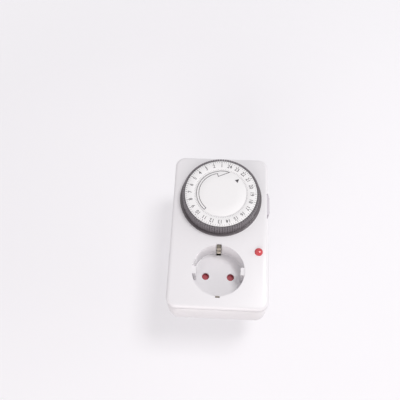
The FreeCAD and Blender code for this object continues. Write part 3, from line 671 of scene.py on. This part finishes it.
def ring_tree():
    """Copies turned round an axis along y through Centre, counter-clockwise from +X."""
    tree, given, result = node_tree(
        "copies round a dial", Segment="Object", Copies="Int", First_Angle="Float",
        Step_Angle="Float", Centre="Vector", Material="Material",
    )
    line = {"Count": given.outputs["Copies"], "Offset": (0.0, 0.0, 0.0)}
    points = add(tree, "GeometryNodeMeshLine", line).outputs[0]
    index = add(tree, "GeometryNodeInputIndex").outputs[0]
    angle = {0: index, 1: given.outputs["Step Angle"], 2: given.outputs["First Angle"]}
    turn = add(tree, "ShaderNodeMath", angle, operation="MULTIPLY_ADD").outputs[0]
    minus = add(tree, "ShaderNodeMath", {0: turn, 1: -1.0}, operation="MULTIPLY").outputs[0]
    euler = add(tree, "ShaderNodeCombineXYZ", {"Y": minus}).outputs[0]
    copies = copies_on(tree, given, points, Rotation=euler)
    move = {"Geometry": copies, "Translation": given.outputs["Centre"]}
    moved = add(tree, "GeometryNodeTransform", move).outputs[0]
    return close_tree(tree, given, result, moved)


def row_tree():
    """Copies of a segment along a straight step."""
    tree, given, result = node_tree(
        "copies in a row", Segment="Object", Copies="Int", Step="Vector", Material="Material"
    )
    line = {"Count": given.outputs["Copies"], "Offset": given.outputs["Step"]}
    points = add(tree, "GeometryNodeMeshLine", line).outputs[0]
    return close_tree(tree, given, result, copies_on(tree, given, points))


def spot_tree():
    """Copies of a segment on the vertices of the mesh that carries the tree."""
    tree, given, result = node_tree("copies on spots", Segment="Object", Material="Material")
    return close_tree(tree, given, result, copies_on(tree, given, given.outputs["Geometry"]))


TREES = {}


def repeated(name, make_tree, spots=(), **values):
    """A plain mesh object made by one of the trees. Input names have underscores for spaces."""
    if make_tree not in TREES:
        TREES[make_tree] = make_tree()
    tree = TREES[make_tree]
    mesh = bpy.data.meshes.new(name)
    mesh.from_pydata([tuple(spot) for spot in spots], [], [])
    piece = new_object(name, mesh)
    modifier = piece.modifiers.new("copies", "NODES")
    modifier.node_group = tree
    for item in tree.interface.items_tree:
        label = item.name.replace(" ", "_")
        if item.in_out == "INPUT" and label in values:
            modifier[item.identifier] = values[label]
    return apply(piece)


# Pieces

def dial_point(radius, angle, y):
    """A point on the dial. angle is in radians, counter-clockwise from +X from the front."""
    return Vector((radius * math.cos(angle), y, DIAL_AXIS.z + radius * math.sin(angle)))


def rounded_outline(inset, radius, steps=12):
    """The housing's outline in x and z, moved inwards by inset."""
    corners = []
    for x, z, start in (
        (COVER_HIGH.x, COVER_HIGH.z, 0), (COVER_LOW.x, COVER_HIGH.z, 90),
        (COVER_LOW.x, COVER_LOW.z, 180), (COVER_HIGH.x, COVER_LOW.z, 270),
    ):
        centre_x = x - math.copysign(radius, x)
        centre_z = z - math.copysign(radius, z)
        reach = radius - inset
        for step in range(steps + 1):
            turn = math.radians(start + 90 * step / steps)
            corners.append((centre_x + reach * math.cos(turn), centre_z + reach * math.sin(turn)))
    return corners


def seam_cutter():
    """A flat frame round the housing that cuts the fine groove where cover and housing meet."""
    sizes = settings().sizes
    corner_radius, outside = 8.0 * MM, -2.0 * MM
    front, back = PARTING - sizes.seam_width / 2, PARTING + sizes.seam_width / 2
    form = bmesh.new()
    rows = []
    for inset, y in (
        (sizes.seam_depth, front), (outside, front), (outside, back), (sizes.seam_depth, back)
    ):
        outline = rounded_outline(inset, corner_radius)
        rows.append([form.verts.new((x, y, z)) for x, z in outline])
    quads(form, rows, closed=True)
    return from_bmesh("seam", form, 35.0)


def make_shells():
    """The front cover and the rear housing."""
    cutter = seam_cutter()
    for node, name in (("front_cover", "cover_shell"), ("rear_housing", "rear_shell")):
        shell = carve(merged_copy(node, name), cutter)
        finished(shell, "housing_white", "housing", node)
    discard(cutter)


def make_carrier():
    """The grey drum and flange that carry the ring and the tappets."""
    carrier = merged_copy("dial_carrier", "carrier_shell")
    finished(carrier, "dial_grey", "dial", "dial_carrier")


def make_number_ring():
    """The ring of numbers, with a skirt behind it."""
    thickness = 0.95 * MM
    skirt_inset, skirt_wall = 1.75 * MM, 1.0 * MM
    front = DIAL_FRONT + 2 * PRINT_HEIGHT
    inner = DISC_RADIUS + FINE
    back = front + thickness
    skirt_outer = RING_RADIUS - skirt_inset
    skirt_inner = skirt_outer - skirt_wall
    edge = front + EDGE_MIDDLE
    profile = [
        (inner, back), (inner, front + FINE), (inner + EDGE_MIDDLE, edge),
        (inner + FINE, front), (RING_RADIUS - FINE, front), (RING_RADIUS - EDGE_MIDDLE, edge),
        (RING_RADIUS, front + FINE), (RING_RADIUS, back), (skirt_outer, back),
        (skirt_outer, DIAL_HIGH.y), (skirt_inner, DIAL_HIGH.y), (skirt_inner, back),
    ]
    ring = turned("number_ring_face", profile, DIAL_AXIS, DIAL_STEPS)
    finished(ring, "dial_white", "dial", "number_ring")


def figure_mesh(hour, height):
    """The flat mesh of one hour's figures, centred, with its face towards +Z."""
    text_size_for_height = 1.32
    text = bpy.data.curves.new("figure", "FONT")
    text.body = str(hour)
    text.size = height * text_size_for_height
    text.align_x = "CENTER"
    text.align_y = "CENTER"
    text.extrude = PRINT_HEIGHT
    text.offset = 0.02 * MM
    text.resolution_u = 3
    carrier = new_object("figure", text)
    bpy.context.view_layer.update()
    depsgraph = bpy.context.evaluated_depsgraph_get()
    mesh = bpy.data.meshes.new_from_object(carrier.evaluated_get(depsgraph))
    discard(carrier)
    bpy.data.curves.remove(text)
    return mesh


def make_figures():
    """The hour figures, 1 at the top and rising counter-clockwise, with their heads outwards."""
    condensed = 0.86
    sizes = settings().sizes
    form = bmesh.new()
    for hour in range(1, HOURS + 1):
        mesh = figure_mesh(hour, sizes.figure_height)
        angle = QUARTER_TURN + FULL_TURN * (hour - 1) / HOURS
        tilt = angle - QUARTER_TURN
        centre = dial_point(sizes.figure_radius, angle, DIAL_FRONT + 2 * PRINT_HEIGHT)
        for vert in mesh.vertices:
            across, up, rise = vert.co.x * condensed, vert.co.y, vert.co.z
            vert.co = centre + Vector((
                across * math.cos(tilt) - up * math.sin(tilt), -rise,
                across * math.sin(tilt) + up * math.cos(tilt),
            ))
        form.from_mesh(mesh)
        bpy.data.meshes.remove(mesh)
    bmesh.ops.remove_doubles(form, verts=form.verts[:], dist=1e-7)
    finished(from_bmesh("dial_figures", form), "dial_white", "dial", finish="print_grey")


def make_marks():
    """The printed strokes at the ring's rim and at its inner edge."""
    sizes = settings().sizes
    rim_margin, disc_margin, inner_length = 0.35 * MM, 1.0 * MM, 0.55 * MM
    hour_width, inner_width = sizes.mark_width * 1.5, sizes.mark_width * 0.9
    rim = RING_RADIUS - rim_margin
    inner = DISC_RADIUS + disc_margin
    top = DIAL_FRONT + PRINT_HEIGHT
    for name, copies, end, reach, width in (
        ("quarter_marks", SLOTS, rim, sizes.rim_mark_length, sizes.mark_width),
        ("hour_marks", HOURS, rim, sizes.hour_mark_length, hour_width),
        ("inner_marks", SLOTS, inner, inner_length, inner_width),
    ):
        form = bmesh.new()
        slab(form, (end - reach, top, -width / 2), (end, top + 2 * PRINT_HEIGHT, width / 2))
        stroke = from_bmesh("mark", form, 35.0)
        made = repeated(
            name, ring_tree, Segment=stroke, Copies=copies, First_Angle=QUARTER_TURN,
            Step_Angle=FULL_TURN / copies, Centre=tuple(DIAL_AXIS),
            Material=finish_for("print_grey"),
        )
        discard(stroke)
        finished(made, "dial_white", "dial", finish="print_grey")


def make_center_disc():
    """The fixed disc, with a boss that fits over the post."""
    thickness, boss, bore, bore_floor = 1.1 * MM, 4.5 * MM, 2.55 * MM, 0.05 * MM
    front = DISC_LOW.y + 2 * PRINT_HEIGHT
    back = front + thickness
    bore_end = back + bore_floor
    # an extra ring of corners inside the face keeps its shading even
    face_ring = DISC_RADIUS * 0.6
    profile = [
        (0.0, front), (face_ring, front), (DISC_RADIUS - FINE, front),
        (DISC_RADIUS - EDGE_MIDDLE, front + EDGE_MIDDLE), (DISC_RADIUS, front + FINE),
        (DISC_RADIUS, back), (boss, back), (boss, DISC_HIGH.y), (bore, DISC_HIGH.y),
        (bore, bore_end), (0.0, bore_end),
    ]
    disc = turned("center_disc_face", profile, DIAL_AXIS, DIAL_STEPS)
    finished(disc, "dial_white", "housing", "dial_center_disc")


def arrow_outline():
    """The turning arrow: a curved band from the lower left up to a head at the top."""
    steps = 40
    outer, inner = 18.7 * MM, 16.9 * MM
    tail, neck = math.radians(229.5), math.radians(101.0)
    # two points along the head's upper side, its tip, its barb and its notch, in mm
    head = [(-1.5, 18.95), (3.1, 18.85), (6.1, 18.0), (-2.6, 14.1), (-3.1, 16.61)]
    notch = math.atan2(head[-1][1], head[-1][0])

    def arc(radius, start, end, first):
        angles = [start + (end - start) * k / steps for k in range(first, steps + 1)]
        return [(radius * math.cos(angle), radius * math.sin(angle)) for angle in angles]

    points = arc(outer, tail, neck, 0)
    points += [(x * MM, z * MM) for x, z in head]
    return points + arc(inner, notch, tail, 1)


def make_turning_arrow():
    """The arrow as a printed line of even width."""
    points = [Vector(point) for point in arrow_outline()]
    left, right = beside(points, settings().sizes.line_width / 2, closed=True, sharpest=0.35)
    top = DISC_LOW.y + PRINT_HEIGHT
    bottom = top + 2 * PRINT_HEIGHT
    form = bmesh.new()
    rows = [[form.verts.new((point.x, y, DIAL_AXIS.z + point.y)) for point in line]
            for line, y in ((left, top), (right, top), (right, bottom), (left, bottom))]
    quads(form, rows, closed=True)
    finished(from_bmesh("turning_arrow", form), "dial_white", "housing", finish="print_grey")


def make_time_pointer():
    """The printed triangle that points at the time."""
    radius, reach, half_width = 16.6 * MM, 1.7 * MM, 1.6 * MM
    tail = reach * 0.75
    aim, twist = math.radians(42.0), 0.05
    lean = aim + twist
    top = DISC_LOW.y + PRINT_HEIGHT

    def corner(along, across, y):
        x = radius * math.cos(aim) + along * math.cos(lean) - across * math.sin(lean)
        z = DIAL_AXIS.z + radius * math.sin(aim) + along * math.sin(lean) + across * math.cos(lean)
        return (x, y, z)

    front, back = [
        [corner(reach, 0.0, y), corner(-tail, half_width, y), corner(-tail, -half_width, y)]
        for y in (top, top + 2 * PRINT_HEIGHT)
    ]
    pointer = prism("time_pointer", front, back, 38.0)
    finished(pointer, "dial_white", "housing", finish="print_grey")


def make_tappets():
    """The quarter-hour tappets, four for each hour, with chamfered heads and a foot."""
    low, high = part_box("tappets_hour_01")
    outer, inner, foot_inner = 29.6 * MM, 27.85 * MM, 27.2 * MM
    foot, chamfer, half_gap, edge = 1.4 * MM, 0.28 * MM, 0.13 * MM, 0.12 * MM
    front, back = low.y, high.y
    profile = [
        (inner, front + chamfer), (inner + chamfer, front), (outer - chamfer, front),
        (outer, front + chamfer), (outer, back), (foot_inner, back),
        (foot_inner, back - foot), (inner, back - foot),
    ]
    lean = math.tan(SLOT_ANGLE / 2)
    left, right = [
        [(radius, y, sign * (radius * lean - half_gap)) for radius, y in profile]
        for sign in (-1, 1)
    ]
    tappet = rounded(prism("tappet", left, right, 30.0), edge, 1, 50.0)
    for hour in range(1, HOURS + 1):
        made = repeated(
            f"tappets_{hour:02d}", ring_tree, Segment=tappet, Copies=QUARTERS,
            First_Angle=QUARTER_TURN + ((hour - 1) * QUARTERS + 0.5) * SLOT_ANGLE,
            Step_Angle=SLOT_ANGLE, Centre=tuple(DIAL_AXIS), Material=finish_for("tappet_grey"),
        )
        finished(made, "tappet_grey", f"hour_{hour:02d}", f"tappets_hour_{hour:02d}")
    discard(tappet)


def make_lamp():
    """The lens: a dome in front, a collar behind the cover and a hollow for the neon tube."""
    low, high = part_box("lamp_lens")
    radius, rim, hollow = 3.0 * MM, 0.4 * MM, 2.2 * MM
    collar = (high.x - low.x) / 2
    collar_front, collar_back = FRONT + 2.0 * MM, FRONT + 3.2 * MM
    hollow_front, hollow_middle = FRONT + 0.9 * MM, FRONT + 0.8 * MM
    rise = FRONT - low.y - rim
    steps = 10
    angles = [QUARTER_TURN * k / steps for k in range(steps + 1)]
    crown = [(radius * math.sin(turn), FRONT - rim - rise * math.cos(turn)) for turn in angles]
    profile = crown + [
        (radius, collar_front), (collar, collar_front), (collar, collar_back),
        (radius, collar_back), (radius, high.y), (hollow, high.y),
        (hollow, hollow_front), (0.0, hollow_middle),
    ]
    dome = turned("lamp_dome", profile, middle("lamp_lens"), 64)
    finished(dome, "lamp_red", "housing", "lamp_lens")


def make_slider():
    """The slider, its face set back, and the ribs that reach the CAD's face."""
    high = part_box("override_slider")[1]
    rib_height, rib_root, tip = 0.5 * MM, 0.1 * MM, 0.15 * MM
    face = high.x - rib_height
    face_layer = 0.2 * MM  # what lies this near to the face moves back with it
    grip_bottom, grip_length, margin = 46.9 * MM, 16.8 * MM, 2.2 * MM
    rib_front, rib_length = FRONT + 3.5 * MM, 6.2 * MM
    grip = merged_copy("override_slider", "slider_grip")
    for vert in grip.data.vertices:
        if vert.co.x > face - face_layer:
            vert.co.x -= rib_height
    finished(grip, "slider_grey", "override", "override_slider")
    count = settings().sizes.grip_ribs
    first = grip_bottom + margin
    pitch = (grip_bottom + grip_length - margin - first) / (count - 1)
    half = pitch * 0.28
    shoulder, crest = half * 0.6, half * 0.3
    root = face - rib_root
    outline = [
        (root, -half), (high.x - tip, -shoulder), (high.x, -crest),
        (high.x, crest), (high.x - tip, shoulder), (root, half),
    ]
    front, back = [[(x, y, first + z) for x, z in outline]
                   for y in (rib_front, rib_front + rib_length)]
    rib = prism("rib", front, back)
    made = repeated("grip_ribs", row_tree, Segment=rib, Copies=count,
                    Step=(0.0, 0.0, pitch), Material=finish_for("slider_grey"))
    discard(rib)
    finished(made, "slider_grey", "override")


def strip(form, route, width, thickness):
    """A bent strip across x along (y, z) points, with evenly thick walls."""
    left, right = beside(route, thickness / 2, closed=False, sharpest=0.5)
    sides = ((-width / 2, left), (width / 2, left), (width / 2, right), (-width / 2, right))
    rows = [[form.verts.new((x, point.x, point.y)) for point in line] for x, line in sides]
    quads(form, rows, closed=False)
    form.faces.new([row[0] for row in rows])
    form.faces.new([row[-1] for row in reversed(rows)])


def soft_route(corners, radius, steps=5):
    """Rounds the corners of a (y, z) route. A bend takes less than half of each leg."""
    most = 0.45
    corners = [Vector(corner) for corner in corners]
    route = [corners[0]]
    for before, here, after in zip(corners, corners[1:], corners[2:]):
        reach = min(radius, (here - before).length * most, (after - here).length * most)
        start = here + (before - here).normalized() * reach
        end = here + (after - here).normalized() * reach
        for k in range(steps + 1):
            share = k / steps
            route.append(start.lerp(here, share).lerp(here.lerp(end, share), share))
    return route + [corners[-1]]


def make_earth_clips():
    """Both clips and the strap that joins them behind the recess."""
    low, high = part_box("socket_earth_clips")
    width = high.x - low.x
    thickness, bend_radius, edge = 0.6 * MM, 0.9 * MM, 0.1 * MM
    recess, mouth = 19.5 * MM, 3.0 * MM
    outside = high.z - thickness / 2
    back = high.y - thickness / 2
    strap_end = high.z - thickness
    # depth behind the cover's front and distance in from the recess wall, in mm
    bends = (
        (3.0, 0.4), (5.6, 0.8), (6.6, 1.7), (8.6, 1.9), (9.6, 1.3), (10.6, 1.3), (11.6, 2.1),
        (13.2, 2.1), (14.4, 1.1), (16.4, 0.6),
    )
    form = bmesh.new()
    slab(form, (-width / 2, back - thickness / 2, -strap_end),
         (width / 2, back + thickness / 2, strap_end))
    for side in (-1, 1):
        corners = [(back, side * outside), (FRONT + mouth, side * outside)]
        corners += [(FRONT + depth * MM, side * (recess - inwards * MM))
                    for depth, inwards in bends]
        strip(form, soft_route(corners, bend_radius), width, thickness)
    clips = rounded(from_bmesh("earth_clips", form, 50.0), edge, 1, 60.0)
    finished(clips, "earth_metal", "housing", "socket_earth_clips", finish="clip_metal")


def make_shutter():
    """The red plate behind the pin holes."""
    shutter = rounded(merged_copy("shutter", "shutter_plate"), 0.15 * MM, 2, 35.0)
    finished(shutter, "shutter_red", "shutter", "shutter")


def make_housing_screws():
    """Cross-head screws in their wells in the back."""
    low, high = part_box("housing_screws")
    head, shank = 2.9 * MM, 1.5 * MM
    head_height, point = 2.2 * MM, 1.2 * MM
    slot_half_width, slot_reach, slot_depth = 0.42 * MM, 2.0 * MM, 1.1 * MM
    # share of the head's radius, and how far the head has dropped there
    crown = ((0.55, 0.03 * MM), (0.85, 0.25 * MM), (1.0, 0.8 * MM))
    top = high.y
    neck = top - head_height
    profile = [(0.0, top)] + [(head * share, top - drop) for share, drop in crown] + [
        (head, neck), (shank, neck), (shank, low.y + point), (0.0, low.y),
    ]
    screw = turned("screw", profile, Vector(), 40, 40.0)
    form = bmesh.new()
    for wide, tall in ((slot_half_width, slot_reach), (slot_reach, slot_half_width)):
        slab(form, (-wide, top - slot_depth, -tall), (wide, top + slot_depth, tall))
    cross = from_bmesh("cross", form, 35.0)
    carve(screw, cross, own_overlaps=True)
    reach = high.x - head
    spots = [(side * reach, 0.0, z) for z in (high.z - head, low.z + head) for side in (-1, 1)]
    made = repeated("housing_screw_heads", spot_tree, spots, Segment=screw,
                    Material=finish_for("screw_steel"))
    discard(screw)
    discard(cross)
    finished(made, "screw_steel", "housing", "housing_screws")


def make_plug():
    """The plug's two pins, with a turned groove at the root and a round nose."""
    pin, root, nose = 2.4 * MM, 2.6 * MM, 2.0 * MM
    groove, groove_front, groove_back = 0.12 * MM, 0.15 * MM, 0.6 * MM
    root_front = -3.0 * MM
    steps = 8
    for node, name in (("plug_pin_line", "pin_line"), ("plug_pin_neutral", "pin_neutral")):
        low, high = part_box(node)
        head = (high.x - low.x) / 2
        tip = []
        for k in range(steps + 1):
            turn = QUARTER_TURN * k / steps
            tip.append((pin - nose + nose * math.sin(turn), high.y - nose + nose * math.cos(turn)))
        profile = [(0.0, high.y)] + tip + [
            (pin, groove_back), (pin - groove, groove_back - groove_front),
            (pin - groove, groove_front), (pin, 0.0), (root, 0.0), (root, root_front),
            (head, root_front), (head, low.y), (0.0, low.y),
        ]
        finished(turned(name, profile, middle(node), 64), "pin_nickel", "housing", node)


def finish_nodes():
    """Every CAD node that is still shown gets the finish of its slot."""
    for part in frame["record"]["subparts"]:
        mesh = NODES[part["node"]].data
        mesh.materials.clear()
        mesh.materials.append(finish_for(part["material_slot"]))


# Stage

FILL_LIGHT = 0.52  # the world's light, as a share of what the camera sees of it
GLOW = 0.42  # the stage's own light, which keeps its shadows pale
STAGE_REACH = 6.0
STAGE_END = 0.6  # the stage is gone at this distance from the origin
STAGE_FADE = 0.3  # and fades out over this length
WHITE = (1.0, 1.0, 1.0)
WARM = (1.0, 0.93, 0.92)
LAMPS = (
    # name, place, width and height, power, colour
    ("key", (0.38, -1.2, 0.2), (0.34, 0.34), 5.3, WHITE),
    ("bounce", (-0.15, -0.4, -0.95), (0.7, 0.7), 5.0, WARM),
    ("rim", (0.8, -0.2, 0.1), (0.2, 0.7), 1.6, WHITE),
    ("back", (-0.15, 1.2, 0.45), (0.6, 0.6), 3.6, WHITE),
)


def seen_rays(finish):
    """1 for rays from the camera, and for those mirrored or refracted on their way from it."""
    camera, glossy, transmission = (
        finish.node("ShaderNodeLightPath", out=name)
        for name in ("Is Camera Ray", "Is Glossy Ray", "Is Transmission Ray")
    )
    return (camera + glossy + transmission).clamped()


def one_sided(name, tone, roughness):
    """A pale surface, shown on its front only, that lets light through and fades out far off."""
    finish = Finish(name, Roughness=roughness, Emission_Color=tone, Emission_Strength=GLOW)
    fibre = finish.noise(40.0, 3.0)
    matt = shade(tone, 1 - GLOW)
    finish.feed(Base_Color=finish.blend(fibre, matt, shade(matt, 0.99)))
    back = finish.node("ShaderNodeNewGeometry", out="Backfacing")
    away = finish.node(
        "ShaderNodeVectorMath", {"operation": "LENGTH"}, {0: finish.place()}, out="Value"
    )
    near = ((STAGE_END - away) * (1 / STAGE_FADE)).clamped()
    shown = seen_rays(finish) * near * (1 - back)
    clear = finish.node("ShaderNodeBsdfTransparent")
    surface = Term(finish, finish.shader.outputs[0])
    mixed = finish.node("ShaderNodeMixShader", None, {0: shown, 1: clear, 2: surface})
    finish.tree.links.new(mixed.socket, finish.end.inputs["Surface"])
    return finish.material


def plane(name, corners, material):
    """A flat surface of the stage."""
    mesh = bpy.data.meshes.new(name)
    mesh.from_pydata(corners, [], [(0, 1, 2, 3)])
    mesh.materials.append(material)
    made = new_object(name, mesh)


def area_lamp(name, place, size, power, tone):
    """A rectangular lamp that shines on the middle of the timer's face."""
    target = Vector((0.0, FRONT, 30 * MM))
    lamp = bpy.data.lights.new(name, "AREA")
    lamp.shape = "RECTANGLE"
    lamp.size, lamp.size_y = size
    lamp.energy = power
    lamp.color = tone
    holder = new_object(name, lamp)
    holder.location = place
    holder.rotation_euler = (target - Vector(place)).to_track_quat("-Z", "Y").to_euler()


def make_stage():
    """A floor under the timer, a backdrop behind its plug, soft light all round and lamps."""
    tone = tuple(settings().colours.background)
    floor_gap, wall_gap = 0.05 * MM, 0.3 * MM
    material = one_sided("pale_paper", tone, 0.7)
    bottom = cad_low.z - floor_gap
    wall = cad_high.y + wall_gap
    square = ((-STAGE_REACH, -STAGE_REACH), (STAGE_REACH, -STAGE_REACH),
              (STAGE_REACH, STAGE_REACH), (-STAGE_REACH, STAGE_REACH))
    plane("floor", [(x, y, bottom) for x, y in square], material)
    plane("backdrop", [(x, wall, z) for x, z in square], material)
    world = bpy.data.worlds.new("studio")
    world.use_nodes = True
    bpy.context.scene.world = world
    ground = world.node_tree.nodes["Background"]
    ground.inputs["Color"].default_value = (*tone, 1.0)
    sky = Sky(world.node_tree)
    sky.join(seen_rays(sky) * (1 - FILL_LIGHT) + FILL_LIGHT, ground.inputs["Strength"])
    for values in LAMPS:
        area_lamp(*values)
    bpy.context.scene.view_settings.view_transform = "Standard"


def make_camera():
    """The photograph's viewpoint: in front and below, looking up along the timer.

    Its place, aim and lens were fitted to the socket's standard sizes and the outline.
    """
    place = Vector((-1.502, -358.959, -110.662)) * MM + Vector((0.0, FRONT, 0.0))
    forward = Vector((-0.03696678, 0.90628571, 0.42104591))
    up = Vector((-0.03637999, -0.42227509, 0.9057374))
    camera = bpy.data.cameras.new("camera")
    camera.sensor_width = 36.0
    camera.lens = 45.64
    camera.clip_start = 0.01
    camera.clip_end = 20.0
    holder = new_object("camera", camera)
    axes = Matrix((forward.cross(up), up, -forward)).transposed()
    holder.matrix_world = Matrix.Translation(place) @ axes.to_4x4()
    bpy.context.scene.camera = holder


# Operators

class TIMER_OT_nodes(bpy.types.Operator):
    """Give every piece of the frame its finish"""

    bl_idname = "timer.nodes"
    bl_label = "Finish the frame"

    def execute(self, context):
        finish_nodes()
        return {"FINISHED"}


class TIMER_OT_shells(bpy.types.Operator):
    """Make the front cover and rear housing with the groove between them"""

    bl_idname = "timer.shells"
    bl_label = "Housing shells"

    def execute(self, context):
        make_shells()
        return {"FINISHED"}


class TIMER_OT_dial(bpy.types.Operator):
    """Make the dial's carrier and number ring with the printed figures and marks"""

    bl_idname = "timer.dial"
    bl_label = "Dial"

    def execute(self, context):
        make_carrier()
        make_number_ring()
        make_figures()
        make_marks()
        return {"FINISHED"}


class TIMER_OT_disc(bpy.types.Operator):
    """Make the fixed disc with its arrow and pointer"""

    bl_idname = "timer.disc"
    bl_label = "Centre disc"

    def execute(self, context):
        make_center_disc()
        make_turning_arrow()
        make_time_pointer()
        return {"FINISHED"}


class TIMER_OT_tappets(bpy.types.Operator):
    """Make the quarter-hour tappets round the dial"""

    bl_idname = "timer.tappets"
    bl_label = "Tappets"

    def execute(self, context):
        make_tappets()
        return {"FINISHED"}


class TIMER_OT_lamp(bpy.types.Operator):
    """Make the domed red lens"""

    bl_idname = "timer.lamp"
    bl_label = "Lamp"

    def execute(self, context):
        make_lamp()
        return {"FINISHED"}


class TIMER_OT_slider(bpy.types.Operator):
    """Make the override slider with its ribs"""

    bl_idname = "timer.slider"
    bl_label = "Side slider"

    def execute(self, context):
        make_slider()
        return {"FINISHED"}


class TIMER_OT_clips(bpy.types.Operator):
    """Make the sprung earth clips of the socket"""

    bl_idname = "timer.clips"
    bl_label = "Earth clips"

    def execute(self, context):
        make_earth_clips()
        return {"FINISHED"}


class TIMER_OT_shutter(bpy.types.Operator):
    """Make the red shutter behind the pin holes"""

    bl_idname = "timer.shutter"
    bl_label = "Shutter"

    def execute(self, context):
        make_shutter()
        return {"FINISHED"}


class TIMER_OT_screws(bpy.types.Operator):
    """Make the cross-head screws in the back"""

    bl_idname = "timer.screws"
    bl_label = "Housing screws"

    def execute(self, context):
        make_housing_screws()
        return {"FINISHED"}


class TIMER_OT_plug(bpy.types.Operator):
    """Make the pins of the plug"""

    bl_idname = "timer.plug"
    bl_label = "Plug"

    def execute(self, context):
        make_plug()
        return {"FINISHED"}


class TIMER_OT_stage(bpy.types.Operator):
    """Make the floor, backdrop, light and camera"""

    bl_idname = "timer.stage"
    bl_label = "Stage"

    def execute(self, context):
        make_stage()
        make_camera()
        return {"FINISHED"}


MAKERS = (
    TIMER_OT_nodes, TIMER_OT_shells, TIMER_OT_dial, TIMER_OT_disc, TIMER_OT_tappets,
    TIMER_OT_lamp, TIMER_OT_slider, TIMER_OT_clips, TIMER_OT_shutter, TIMER_OT_screws,
    TIMER_OT_plug, TIMER_OT_stage,
)


class TIMER_PT_panel(bpy.types.Panel):
    """Lists the settings and the steps that build the timer switch."""

    bl_label = "Timer switch"
    bl_idname = "TIMER_PT_panel"
    bl_space_type = "VIEW_3D"
    bl_region_type = "UI"
    bl_category = "Timer"

    def draw(self, context):
        for group in (settings().sizes, settings().colours):
            for name in group.__annotations__:
                self.layout.prop(group, name)
        for maker in MAKERS:
            self.layout.operator(maker.bl_idname)


CLASSES = (TimerSizes, TimerColours, TimerSettings, *MAKERS, TIMER_PT_panel)


def register():
    for kind in CLASSES:
        bpy.utils.register_class(kind)
    bpy.types.Scene.plug_timer = bpy.props.PointerProperty(
        name="Timer switch", description="Settings of the timer switch", type=TimerSettings
    )


def unregister():
    del bpy.types.Scene.plug_timer
    for kind in reversed(CLASSES):
        bpy.utils.unregister_class(kind)


def main():
    """Builds the timer."""
    register()
    for maker in MAKERS:
        group, name = maker.bl_idname.split(".")
        getattr(getattr(bpy.ops, group), name)()


if __name__ == "__main__":
    main()
